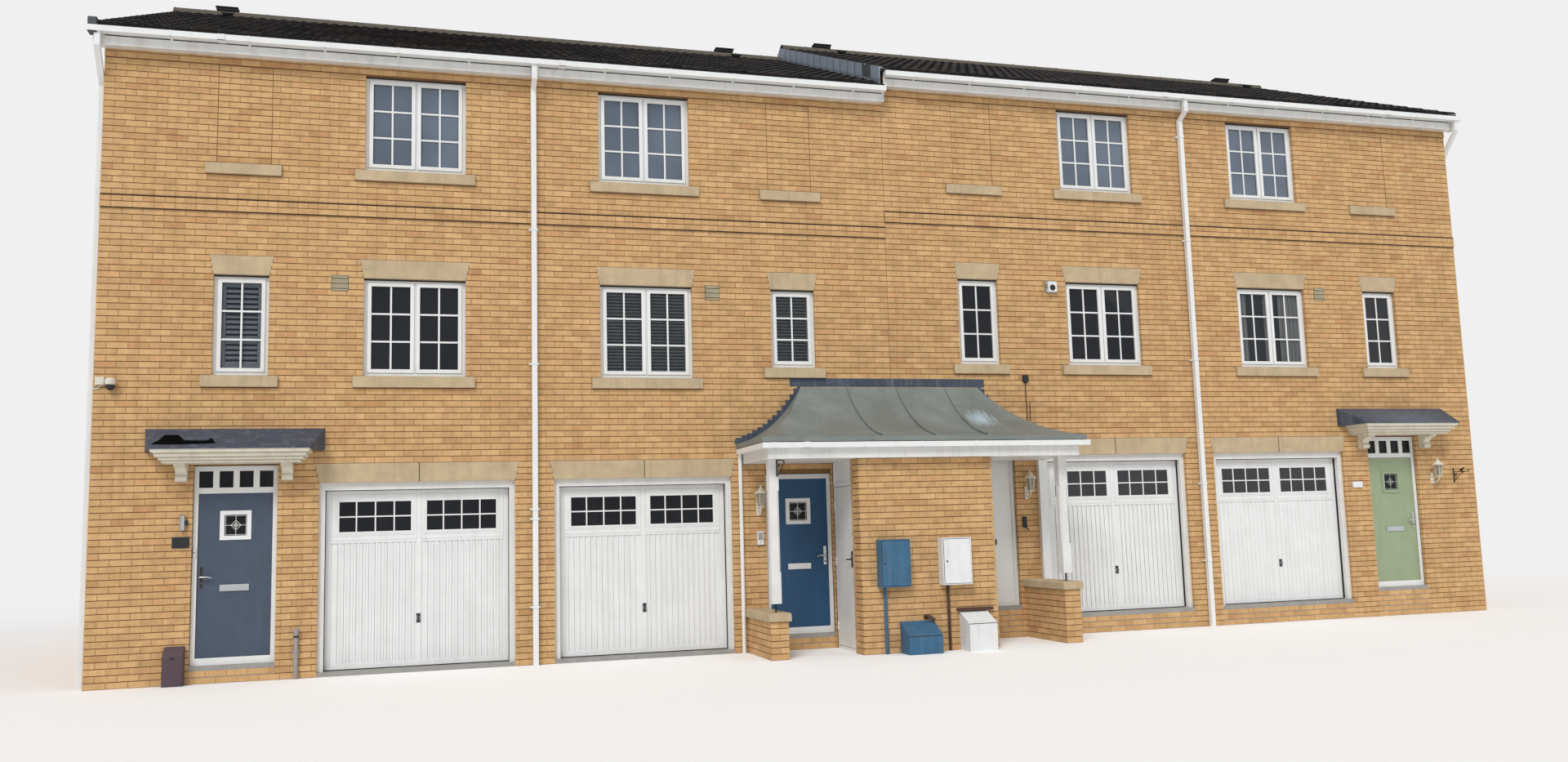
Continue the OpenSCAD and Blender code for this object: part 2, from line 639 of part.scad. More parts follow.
// Front doors
threshold = 65;
door_sill = hall_floor;
leaf_z0 = door_sill + threshold + leaf_gap;
transom_z = end_door_top - jamb_w - lip_w - transom_h - 12;
function door_head(i) = is_end(i) ? transom_z - 51 : door_top(i) - jamb_w - lip_w;
function leaf_z1(i) = door_head(i) - leaf_gap;
leaf_x0 = door_x + jamb_w + leaf_gap;
leaf_w = door_w - 2 * jamb_w - 2 * leaf_gap;
leaf_y = recess + 15 + 5;
lights = 4;
light_gap = 66;
light_w = (door_w - 2 * (jamb_w + lip_w) - (lights - 1) * light_gap) / lights;
// Hinges: the frame holds the middle knuckle, the leaf the two beside it
hinge_at = [230, 1000, 1640];
hinge_back = leaf_t + 2 * knuckle_r + 2;
hinge_in = 3;
module knuckle_pair(z) for (m = [-1, 1]) translate([0, 0, z + m * (knuckle_l + seat) - knuckle_l / 2])
  children();
module knuckle(x0, x1, y0, y1) {
  cylinder(h = knuckle_l, r = knuckle_r);
  block([x0, y0, 0], [x1, y1, knuckle_l]);
}
module door_frame(i) {
  door_frame_body(i);
  translate([leaf_x0 - hinge_in, leaf_y + hinge_back, door_sill]) for (z = hinge_at)
    translate([0, 0, z - knuckle_l / 2]) knuckle(-22, 0, recess + frame_d - eps - leaf_y - hinge_back, 0);
}
module door_frame_body(i) difference() {
  block([door_x, recess, door_sill], [door_x + door_w, recess + frame_d, door_top(i)]);
  block([door_x + jamb_w, recess + 15, door_sill + threshold],
    [door_x + door_w - jamb_w, recess + frame_d + 50, door_head(i)]);
  block([door_x + jamb_w + lip_w, recess - 50, door_sill + threshold + lip_w],
    [door_x + door_w - jamb_w - lip_w, recess + frame_d + 50, door_head(i) - lip_w]);
  if (is_end(i)) for (k = [0:lights - 1])
    translate([door_x + jamb_w + lip_w + k * (light_w + light_gap), recess - 50, transom_z])
      cube([light_w, frame_d + 100, transom_h]);
}
light_z = 1780;
letter_z = 1065;
lever_z = 1195;
light_frame = 46;
module door_leaf(i) at_house(i) translate([leaf_x0, leaf_y, 0]) {
  translate([-hinge_in, hinge_back, 0]) for (z = hinge_at) knuckle_pair(door_sill + z)
    knuckle(0, 14, leaf_t - eps - hinge_back, 0);
  difference() {
    union() {
      block([0, 0, leaf_z0], [leaf_w, leaf_t, leaf_z1(i)]);
      translate([(leaf_w - door_light) / 2, -10, light_z - door_light / 2])
        cube([door_light, 11, door_light]);
    }
    translate([(leaf_w - door_light) / 2 + light_frame, -20, light_z - door_light / 2 + light_frame])
      cube([door_light - 2 * light_frame, 20 + leaf_t / 2 - 4, door_light - 2 * light_frame]);
    translate([(leaf_w - door_light) / 2 + light_frame, leaf_t / 2 + 4,
      light_z - door_light / 2 + light_frame])
      cube([door_light - 2 * light_frame, leaf_t, door_light - 2 * light_frame]);
  }
  translate([leaf_w / 2 - 155, -12, letter_z - 36]) cube([310, 12 + eps, 72]);
  translate([leaf_w - 72, -9, lever_z - 120]) cube([34, 9 + eps, 240]);
  translate([leaf_w - 55, 0, lever_z]) rotate([90, 0, 0]) cylinder(h = 48, r = 9);
  translate([leaf_w - 46, -48, lever_z]) rotate([0, -90, 0]) cylinder(h = 125, r = 9);
}

// Frames and panels of the brick store's side doors
store_head = 2080;
store_leaf_t = 40;
store_nib = 50;
store_level = 120;
store_jamb = 32;
swing_room = 2;
store_leaf_w = store_door_w - 2 * store_jamb - 2 * running - swing_room;
store_foot = 40;
module at_store(s) translate([0, front_y, 0]) flip_x(s > 0) children();
store_hinge_at = [250, 1080, 1800];
store_pin = knuckle_r + 2;
module at_store_pin() translate([-store_pin, -store_nib - store_jamb - running + hinge_in, 0]) children();
module store_frame(level) translate([-store_half, 0, 0]) {
  store_frame_body(level);
  at_store_pin() for (z = store_hinge_at) translate([0, 0, store_foot + level + z - knuckle_l / 2])
    knuckle(0, store_pin + eps, 0, 14);
}
module store_frame_body(level) translate([0, -store_nib - store_door_w, 0]) {
  difference() {
    block([0, 0, 0], [store_t, store_door_w, porch_soffit]);
    block([-50, store_jamb, store_foot + level],
      [store_t + 50, store_door_w - store_jamb, store_head + level]);
    block([store_leaf_t + 20, -50, -50], [store_t + 50, store_door_w + 50, porch_soffit + 50]);
    block([-50, store_jamb, store_head + level + 50],
      [12, store_door_w - store_jamb, porch_soffit - 30]);
  }
}
module door_frames() color(white_tone) {
  for (i = houses) at_house(i) door_frame(i);
  at_store(-1) store_frame(0);
  at_store(1) store_frame(store_level);
}
module store_door(level) translate([-store_half, 0, 0]) {
  at_store_pin() for (z = store_hinge_at) knuckle_pair(store_foot + level + z)
    knuckle(0, store_pin + eps, -14, 0);
  translate([0, -store_nib - store_jamb - running - store_leaf_w, 0]) store_leaf(level);
}
store_lever_z = 1150;
module store_leaf(level) {
  block([0, 0, store_foot + level + running],
    [store_leaf_t, store_leaf_w, store_head + level - running]);
  translate([0, 57, store_lever_z + level]) {
    translate([-8, -17, -100]) cube([8 + eps, 34, 200]);
    rotate([0, -90, 0]) cylinder(h = 45, r = 8);
    translate([-45, -8, 0]) rotate([-90, 0, 0]) cylinder(h = 110, r = 8);
  }
}

// Garage doors: timber frame, ribbed leaf on rollers, tracks under the ceiling
garage_y = recess - 10;
garage_leaf_y = garage_y + 90 + 5;
garage_leaf_x = garage_x + garage_jamb + running;
garage_leaf_w = garage_w - 2 * garage_jamb - 2 * running;
garage_leaf_z0 = garage_floor + 12;
garage_leaf_z1 = garage_head - garage_rail - running;
garage_axis_y = garage_leaf_y + garage_leaf_t / 2;
garage_axis_z = garage_leaf_z1 - garage_leaf_t / 2;
module garage_frames() color(white_tone) for (i = houses) at_house(i) difference() {
  block([garage_x, garage_y, garage_floor], [garage_x + garage_w, garage_y + 90, garage_head]);
  block([garage_x + garage_jamb, garage_y - 50, garage_floor - 50],
    [garage_x + garage_w - garage_jamb, garage_y + 150, garage_head - garage_rail]);
}
garage_edge = 60;
garage_sheet = 8;
pane_top = garage_leaf_z1 - 110;
pane_foot = pane_top - 400;
pane_margin = 126;
pane_gap = 141;
garage_pane_w = (garage_leaf_w - 2 * pane_margin - pane_gap) / 2;
panel_top = pane_foot - 110;
ribs = floor((garage_leaf_w / 2 - garage_edge - 30) / rib_pitch);
module garage_door(i) at_house(i) translate([garage_leaf_x, garage_leaf_y, 0]) {
  difference() {
    block([0, 0, garage_leaf_z0], [garage_leaf_w, garage_leaf_t, garage_leaf_z1]);
    for (x = [garage_edge, garage_leaf_w / 2 + 30]) translate([x, -50, garage_leaf_z0 + garage_edge])
      cube([garage_leaf_w / 2 - garage_edge - 30, 62, panel_top - garage_leaf_z0 - garage_edge]);
    for (x = [pane_margin, garage_leaf_w - pane_margin - garage_pane_w])
      translate([x, -50, pane_foot]) cube([garage_pane_w, 62, pane_top - pane_foot]);
    translate([garage_edge, 12 + garage_sheet, garage_leaf_z0 + garage_edge])
      cube([garage_leaf_w - 2 * garage_edge, garage_leaf_t,
        garage_leaf_z1 - garage_leaf_z0 - 2 * garage_edge]);
  }
  for (h = [0, 1]) for (k = [0:ribs - 1])
    translate([h * (garage_leaf_w / 2 - garage_edge + 30) + garage_edge + (k + 0.3) * rib_pitch, 4,
      garage_leaf_z0 + garage_edge - eps])
      cube([rib_pitch * 0.4, 8 + eps, panel_top - garage_leaf_z0 - garage_edge + 2 * eps]);
  translate([garage_leaf_w / 2, 0, garage_floor + 570]) rotate([90, 0, 0]) cylinder(h = 24, r = 20);
}
spindle_r = 6;
roller_w = 20;
roller_x = garage_leaf_x - 43;
module garage_rollers(i) at_house(i) for (m = [0, 1])
  translate([m * (2 * garage_x + garage_w), 0, 0]) flip_x(m == 1)
    translate([0, garage_axis_y, garage_axis_z]) rotate([0, 90, 0]) {
      translate([0, 0, roller_x]) cylinder(h = roller_w, r = roller_r);
      translate([0, 0, roller_x - 3]) cylinder(h = garage_leaf_x - roller_x + 2.7, r = spindle_r);
    }
track_t = 3;
track_room = roller_r + seat;
track_end = garage_axis_y + travel + roller_r + 60;
module tracks(i) color([0.66, 0.67, 0.68]) at_house(i) for (m = [0, 1])
  translate([m * (2 * garage_x + garage_w), 0, 0]) flip_x(m == 1) {
    difference() {
      block([roller_x - 12, garage_y + 90, garage_axis_z - track_room - track_t],
        [roller_x + roller_w + 8, track_end, garage_axis_z + track_room + track_t]);
      block([roller_x - 12 + track_t, garage_y, garage_axis_z - track_room],
        [roller_x + roller_w + 50, track_end - track_t, garage_axis_z + track_room]);
    }
    block([roller_x - 12, track_end - 40, garage_axis_z + track_room],
      [roller_x - 12 + track_t, track_end, floor_1 - floor_t]);
    block([roller_x - 12, wall_t + 20, garage_axis_z + track_room],
      [roller_x - 12 + track_t, wall_t + 60, floor_1 - floor_t]);
  }

// Moulded canopy over the end doors, with its scroll brackets
// Steps of the cornice as [reach past the foot, height share]
cornice = [[0, 0], [0, 0.17], [26, 0.21], [34, 0.40], [62, 0.47], [70, 0.70], [98, 0.78], [105, 1]];
module cornice_front() polygon(concat([[0, cornice_z]],
  [for (c = cornice) [-canopy_out - c[0], cornice_z + c[1] * cornice_h]], [[0, cornice_top]]));
module cornice_side() polygon(concat(
  [for (c = cornice) [canopy_half + c[0], cornice_z + c[1] * cornice_h]],
  [for (k = [len(cornice) - 1:-1:0])
    [-canopy_half - cornice[k][0], cornice_z + cornice[k][1] * cornice_h]]));
bracket_out = 250;
bracket_x = 565;
module scroll_bracket() {
  along(-bracket_w / 2, bracket_w / 2) union() {
    translate([-bracket_out, cornice_z - 30]) square([bracket_out, 30 + eps]);
    difference() {
      translate([-bracket_out + 30, cornice_z - bracket_h]) square([bracket_out - 30, bracket_h - 20]);
      translate([-bracket_out + 30, cornice_z - bracket_h + 30]) circle(r = bracket_h - 70);
      translate([-bracket_out - 50, cornice_z - bracket_h - 10]) square([bracket_out - 60, 90]);
    }
    translate([-95, cornice_z - bracket_h + 42]) circle(r = 30);
    translate([-110, cornice_z - bracket_h]) square([110, 22]);
  }
}
module door_canopies() color(white_tone) for (i = [0, 3]) at_house(i) translate([canopy_x, 0, 0]) {
  intersection() {
    along(-2 * canopy_half, 2 * canopy_half) cornice_front();
    upright(-2 * canopy_out, 0) cornice_side();
  }
  for (s = [-1, 1]) translate([s * bracket_x, 0, 0]) scroll_bracket();
}

// Porch carried on posts and the brick store
post_y = -950;
pin_h = 105;
pin_r = 9;
module porch_post(level) {
  z = coping_z + level + pin_h;
  difference() {
    block([-post / 2, -post / 2, z], [post / 2, post / 2, porch_soffit]);
    for (a = [0:90:270]) rotate(a) translate([post / 2, post / 2, z + 380]) rotate(45)
      translate([-16, -16, 0]) cube([32, 32, porch_soffit - z - 760]);
  }
  translate([0, 0, z - pin_h]) cylinder(h = pin_h + eps, r = pin_r);
}
module porch_posts() color(white_tone) for (s = [-1, 1])
  translate([s * (dwarf_half - dwarf_t / 2), front_y + post_y, 0]) porch_post(s > 0 ? pair_step : 0);
module porch_brickwork() color(brick_tone) translate([0, front_y, 0]) {
  for (s = [-1, 1]) {
    x = s * (dwarf_half - dwarf_t / 2);
    block([x - dwarf_t / 2, -store_out, 0],
      [x + dwarf_t / 2, 0, coping_z - coping_h + (s > 0 ? pair_step : 0)]);
  }
  difference() {
    block([-store_half, -store_out, 0], [store_half, 0, porch_soffit]);
    block([-store_half + store_t, -store_out + store_t, -50],
      [store_half - store_t, 50, porch_soffit + 50]);
    block([-store_half - 50, -store_nib - store_door_w, -50],
      [store_half + 50, -store_nib, porch_soffit + 50]);
  }
}
module porch_copings() color(stone_tone) for (s = [-1, 1]) {
  x = s * (dwarf_half - dwarf_t / 2);
  translate([x, front_y, s > 0 ? pair_step : 0]) upright(-store_out - coping_over, 0)
    polygon([[-dwarf_t / 2 - coping_over, coping_z - coping_h],
      [dwarf_t / 2 + coping_over, coping_z - coping_h], [dwarf_t / 2 + coping_over, coping_z - 14],
      [dwarf_t / 2 + coping_over - 14, coping_z], [-dwarf_t / 2 - coping_over + 14, coping_z],
      [-dwarf_t / 2 - coping_over, coping_z - 14]]);
}
// Meter boxes on the store's front, with their pipes, and the sloped boxes at its foot
meter_w = 390;
meter_h = 580;
meter_d = 150;
meter_z = 810;
module wall_meter(x, pipe_x, r) {
  block([x - meter_w / 2, -meter_d, meter_z], [x + meter_w / 2, 0, meter_z + meter_h]);
  block([x - meter_w / 2 + 18, -meter_d - 8, meter_z + 18],
    [x + meter_w / 2 - 18, -meter_d + eps, meter_z + meter_h - 18]);
  translate([pipe_x, -r - 10, 0]) cylinder(h = meter_z + eps, r = r);
}
foot_deep = 300;
module foot_box(x0, x1, back, front) along(x0, x1) polygon([[-foot_deep, 0], [0, 0], [0, back],
  [-25, back], [-foot_deep, front]]);
module left_meter_boxes() color([0.24, 0.42, 0.60]) translate([0, front_y - store_out, 0]) {
  wall_meter(-510, -617, 22);
  foot_box(-430, 10, 375, 215);
}
module right_meter_boxes() color(white_tone) translate([0, front_y - store_out, 0]) {
  wall_meter(310, 222, 17);
  foot_box(370, 740, 458, 330);
  block([335, -55, 478], [815, 0, 512]);
}

module left_front_wall() color(brick_tone) front_wall(-1);
module right_front_wall() color(brick_tone) front_wall(1);
module left_rear_wall() color(brick_tone) rear_wall(-1);
module right_rear_wall() color(brick_tone) rear_wall(1);
module end_left_door() color(door_tones[0]) door_leaf(0);
module mid_left_door() color(door_tones[1]) door_leaf(1);
module mid_right_door() color(door_tones[2]) door_leaf(2);
module end_right_door() color(door_tones[3]) door_leaf(3);
module end_left_garage_door() color(white_tone) garage_door(0);
module mid_left_garage_door() color(white_tone) garage_door(1);
module mid_right_garage_door() color(white_tone) garage_door(2);
module end_right_garage_door() color(white_tone) garage_door(3);
module end_left_rollers() color([0.3, 0.3, 0.3]) garage_rollers(0);
module mid_left_rollers() color([0.3, 0.3, 0.3]) garage_rollers(1);
module mid_right_rollers() color([0.3, 0.3, 0.3]) garage_rollers(2);
module end_right_rollers() color([0.3, 0.3, 0.3]) garage_rollers(3);
module end_left_tracks() tracks(0);
module mid_left_tracks() tracks(1);
module mid_right_tracks() tracks(2);
module end_right_tracks() tracks(3);
module left_store_door() color(white_tone) at_store(-1) store_door(0);
module right_store_door() color(white_tone) at_store(1) store_door(store_level);

left_front_wall();
right_front_wall();
front_piers();
left_rear_wall();
right_rear_wall();
end_walls();
party_walls();
ground_slabs();
upper_floors();
left_roof();
right_roof();
ridge_tiles();
roof_vents();
verge_units();
lead_flashings();
eaves_boards();
gutters();
downpipes();
window_sills();
stone_lintels();
window_frames();
window_glass();
air_vents();
door_frames();
end_left_door();
mid_left_door();
mid_right_door();
end_right_door();
end_left_garage_door();
mid_left_garage_door();
mid_right_garage_door();
end_right_garage_door();
end_left_rollers();
mid_left_rollers();
mid_right_rollers();
end_right_rollers();
garage_frames();
end_left_tracks();
mid_left_tracks();
mid_right_tracks();
end_right_tracks();
door_canopies();
porch_roof();
porch_posts();
porch_brickwork();
porch_copings();
left_store_door();
right_store_door();
left_meter_boxes();
right_meter_boxes();
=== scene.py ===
import math
import random

import bmesh
import bpy
from mathutils import Matrix, Vector


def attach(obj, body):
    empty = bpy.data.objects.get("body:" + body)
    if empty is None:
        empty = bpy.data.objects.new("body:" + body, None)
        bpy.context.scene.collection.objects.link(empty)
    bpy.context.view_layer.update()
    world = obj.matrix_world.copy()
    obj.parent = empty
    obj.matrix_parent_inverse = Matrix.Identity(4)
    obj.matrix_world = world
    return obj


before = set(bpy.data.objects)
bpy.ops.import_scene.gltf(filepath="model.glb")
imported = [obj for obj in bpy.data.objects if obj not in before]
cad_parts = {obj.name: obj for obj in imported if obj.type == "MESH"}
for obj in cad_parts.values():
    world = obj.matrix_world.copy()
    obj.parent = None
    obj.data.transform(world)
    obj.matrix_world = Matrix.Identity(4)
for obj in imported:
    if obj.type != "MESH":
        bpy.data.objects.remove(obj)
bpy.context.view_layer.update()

print("scene: frame loaded")

# Facts of the row, in metres
row = {
    "front": -4.5, "rear": 4.5,  # wall faces
    "half": 9.68,  # middle line to gable face
    "partyX": 4.7525,  # middle line to the party line of a pair
    "step": 0.225,  # rise of the right pair
    "storeHalf": 0.88, "storeSide": 0.9, "storeOut": 1.1, "storeTop": 2.4,  # brick store under the porch
    "dwarfIn": 1.86, "dwarfOut": 2.075, "dwarfTop": 0.455,  # low walls that carry the posts
    "postOut": 0.95, "postFoot": 0.555,
}
roof = {
    "under": 7.6, "pitch": 24.0, "thick": 0.09,  # underside over the wall face, slope in degrees
    "eavesY": 4.7, "rows": 15, "tileW": 0.301, "tileL": 0.40,
}
opening = {
    "wideX": 0.83, "wideW": 1.2, "narrowX": 3.09, "narrowW": 0.615,
    "tall": 1.2, "rearSill": 1.05, "firstSill": 3.525, "topSill": 6.075,
    "sill": 0.14, "sillOver": 0.112,  # the stone sill's height and its reach past the opening
    "lintel": 0.225, "splay": 0.042,  # the stone head's height and the lean of its ends
    "garageX": 0.235, "garageW": 2.27, "garageFoot": 0.05, "garageHead": 2.25,
    "doorX": 2.955, "doorW": 0.91, "doorFoot": 0.2, "midDoorHead": 2.275, "endDoorHead": 2.475,
    "recess": 0.06,  # door frames behind the wall face
}
houses = [
    {"name": "endLeft", "node": "end_left", "pair": -1, "side": -1, "end": True, "narrowSill": 3.525,
     "lights": "darkPane", "blinds": ["", "shutter", "louvre"]},
    {"name": "midLeft", "node": "mid_left", "pair": -1, "side": 1, "end": False, "narrowSill": 3.675,
     "lights": "darkPane", "blinds": ["slat", "slat", ""]},
    {"name": "midRight", "node": "mid_right", "pair": 1, "side": -1, "end": False, "narrowSill": 3.525,
     "lights": "netPane", "blinds": ["", "", "halfLouvre"]},
    {"name": "endRight", "node": "end_right", "pair": 1, "side": 1, "end": True, "narrowSill": 3.525,
     "lights": "netPane", "blinds": ["sideLouvre", "", ""]},
]


def levelOf(side):
    return row["step"] if side > 0 else 0.0


def acrossOf(house, x):
    return house["pair"] * row["partyX"] + house["side"] * x


# Row place of a point given from the house's party line, wall face and base
def spot(house, x, y, z, rear=False):
    wallY = row["rear"] - y if rear else row["front"] + y
    return Vector((acrossOf(house, x), wallY, levelOf(house["pair"]) + z))


def doorHead(house):
    return opening["endDoorHead" if house["end"] else "midDoorHead"]


# Top of the roof deck at a distance from the ridge line
def roofTop(y, level):
    rise = (row["rear"] - abs(y)) * math.tan(math.radians(roof["pitch"]))
    return roof["under"] + roof["thick"] + level + rise


# Shapes are gathered as plain lists, and made into one mesh at the end
def newShape():
    return {"verts": [], "faces": [], "slots": []}


def addSolid(shape, verts, faces, slot=0):
    start = len(shape["verts"])
    shape["verts"].extend([tuple(v) for v in verts])
    for face in faces:
        shape["faces"].append([start + i for i in face])
        shape["slots"].append(slot)


def addBox(shape, low, high, slot=0):
    x0, y0, z0 = low
    x1, y1, z1 = high
    verts = [(x0, y0, z0), (x1, y0, z0), (x1, y1, z0), (x0, y1, z0),
             (x0, y0, z1), (x1, y0, z1), (x1, y1, z1), (x0, y1, z1)]
    faces = [(0, 3, 2, 1), (4, 5, 6, 7), (0, 1, 5, 4), (1, 2, 6, 5), (2, 3, 7, 6), (3, 0, 4, 7)]
    addSolid(shape, verts, faces, slot)


def addHouseBox(shape, house, x, y, z, slot=0, rear=False):
    a = spot(house, x[0], y[0], z[0], rear)
    b = spot(house, x[1], y[1], z[1], rear)
    addBox(shape, [min(a[i], b[i]) for i in range(3)], [max(a[i], b[i]) for i in range(3)], slot)


# A flat ring of points swept along a vector
def addPrism(shape, ring, shift, slot=0):
    n = len(ring)
    verts = [Vector(p) for p in ring] + [Vector(p) + Vector(shift) for p in ring]
    faces = [tuple(reversed(range(n))), tuple(range(n, 2 * n))]
    faces += [(i, (i + 1) % n, n + (i + 1) % n, n + i) for i in range(n)]
    addSolid(shape, verts, faces, slot)


# Four strips round a rectangle: reach outside it, reach inside at the sides, the same at head and foot,
# and how far the strips at head and foot run into the side ones
def rimStrips(x0, x1, z0, z1, outer, inner, rail=None, lap=0.0):
    rail = inner if rail is None else rail
    left, right = x0 + inner - lap, x1 - inner + lap
    return ((x0 - outer, x0 + inner, z0 - outer, z1 + outer), (x1 - inner, x1 + outer, z0 - outer, z1 + outer),
            (left, right, z0 - outer, z0 + rail), (left, right, z1 - rail, z1 + outer))


# Four strips outside a rectangle, with the corners in the strips at head and foot
def outlineStrips(x0, x1, z0, z1, wide):
    return ((x0 - wide, x0, z0, z1), (x1, x1 + wide, z0, z1),
            (x0 - wide, x1 + wide, z0 - wide, z0), (x0 - wide, x1 + wide, z1, z1 + wide))


def addRim(shape, house, rectangle, y, reach, slot=0, rear=False):
    for a, b, c, d in rimStrips(*rectangle, *reach):
        addHouseBox(shape, house, (a, b), y, (c, d), slot, rear)


def addLoft(shape, rings, slot=0, closed=False):
    n = len(rings[0])
    verts = [p for ring in rings for p in ring]
    faces = []
    count = len(rings)
    for r in range(count if closed else count - 1):
        a = r * n
        b = ((r + 1) % count) * n
        faces += [(a + i, a + (i + 1) % n, b + (i + 1) % n, b + i) for i in range(n)]
    if not closed:
        faces += [tuple(reversed(range(n))), tuple(range((count - 1) * n, count * n))]
    addSolid(shape, verts, faces, slot)


def addTube(shape, path, radius, slot=0, sides=12):
    path = [Vector(p) for p in path]
    rings = []
    normal = None
    for i, p in enumerate(path):
        ahead = path[min(i + 1, len(path) - 1)] - path[max(i - 1, 0)]
        ahead.normalize()
        if normal is None:
            normal = ahead.orthogonal().normalized()
        normal = (normal - ahead * normal.dot(ahead)).normalized()
        across = ahead.cross(normal)
        size = radius[i] if isinstance(radius, list) else radius
        rings.append([p + (normal * math.cos(a) + across * math.sin(a)) * size
                      for a in [2 * math.pi * k / sides for k in range(sides)]])
    addLoft(shape, rings, slot)


# Smooth curve through given points, with a few steps in each span
def smoothPath(points, steps):
    points = [Vector(p) for p in points]
    guides = [points[0] * 2 - points[1]] + points + [points[-1] * 2 - points[-2]]
    path = []
    for i in range(len(points) - 1):
        a, b, c, d = guides[i:i + 4]
        for k in range(steps):
            t = k / steps
            bend, ease = 2 * a - 5 * b + 4 * c - d, 3 * b - a - 3 * c + d
            path.append(b + ((c - a) * t + bend * t ** 2 + ease * t ** 3) / 2)
    return path + [points[-1]]


# The profile is a list of (distance along the axis, radius)
def addLathe(shape, base, axis, profile, slot=0, sides=20):
    axis = Vector(axis).normalized()
    side = axis.orthogonal().normalized()
    across = axis.cross(side)
    rings = []
    for along, radius in profile:
        centre = Vector(base) + axis * along
        rings.append([centre + (side * math.cos(a) + across * math.sin(a)) * max(radius, 0.0002)
                      for a in [2 * math.pi * k / sides for k in range(sides)]])
    addLoft(shape, rings, slot)


def makePiece(name, shape, materials, body="building", bevel=0.0, smooth=32):
    mesh = bpy.data.meshes.new(name)
    mesh.from_pydata(shape["verts"], [], shape["faces"])
    for material in materials:
        mesh.materials.append(material)
    mesh.polygons.foreach_set("material_index", shape["slots"])
    work = bmesh.new()
    work.from_mesh(mesh)
    bmesh.ops.recalc_face_normals(work, faces=work.faces)
    if bevel > 0:
        sharp = [e for e in work.edges if len(e.link_faces) == 2 and e.calc_face_angle(0) > 0.5]
        bmesh.ops.bevel(work, geom=sharp, offset=bevel, segments=2, affect="EDGES", clamp_overlap=True)
    for face in work.faces:
        face.smooth = True
    for edge in work.edges:
        edge.smooth = len(edge.link_faces) == 2 and edge.calc_face_angle(0) < math.radians(smooth)
    work.to_mesh(mesh)
    work.free()
    piece = bpy.data.objects.new(name, mesh)
    bpy.context.scene.collection.objects.link(piece)
    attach(piece, body)
    return piece


# Shared effects as shader groups
def newGroup(name, inputs, outputs):
    tree = bpy.data.node_groups.new(name, "ShaderNodeTree")
    for label, kind, default in inputs:
        socket = tree.interface.new_socket(name=label, in_out="INPUT", socket_type=kind)
        if default is not None:
            socket.default_value = default
    for label, kind in outputs:
        tree.interface.new_socket(name=label, in_out="OUTPUT", socket_type=kind)
    return tree, tree.nodes.new("NodeGroupInput"), tree.nodes.new("NodeGroupOutput")


def mixColor(tree, factor, a, b, blend="MIX"):
    node = tree.nodes.new("ShaderNodeMix")
    node.data_type = "RGBA"
    node.blend_type = blend
    for socket, value in ((node.inputs[0], factor), (node.inputs[6], a), (node.inputs[7], b)):
        if isinstance(value, bpy.types.NodeSocket):
            tree.links.new(value, socket)
        else:
            socket.default_value = value
    return node.outputs[2]


def mathNode(tree, operation, a, b=0.0, clamp=False):
    node = tree.nodes.new("ShaderNodeMath")
    node.operation = operation
    node.use_clamp = clamp
    for socket, value in ((node.inputs[0], a), (node.inputs[1], b)):
        if isinstance(value, bpy.types.NodeSocket):
            tree.links.new(value, socket)
        else:
            socket.default_value = value
    return node.outputs[0]


def noiseNode(tree, vector, scale, detail=4.0, rough=0.6):
    node = tree.nodes.new("ShaderNodeTexNoise")
    for label, value in (("Vector", vector), ("Scale", scale), ("Detail", detail), ("Roughness", rough)):
        if isinstance(value, bpy.types.NodeSocket):
            tree.links.new(value, node.inputs[label])
        elif value is not None:
            node.inputs[label].default_value = value
    return node.outputs[0]


def rangeNode(tree, value, low, high, toLow=0.0, toHigh=1.0):
    node = tree.nodes.new("ShaderNodeMapRange")
    tree.links.new(value, node.inputs[0])
    for index, amount in ((1, low), (2, high), (3, toLow), (4, toHigh)):
        if isinstance(amount, bpy.types.NodeSocket):
            tree.links.new(amount, node.inputs[index])
        else:
            node.inputs[index].default_value = amount
    return node.outputs[0]


def stretchNode(tree, vector, scale):
    node = tree.nodes.new("ShaderNodeMapping")
    tree.links.new(vector, node.inputs["Vector"])
    node.inputs["Scale"].default_value = scale
    return node.outputs[0]


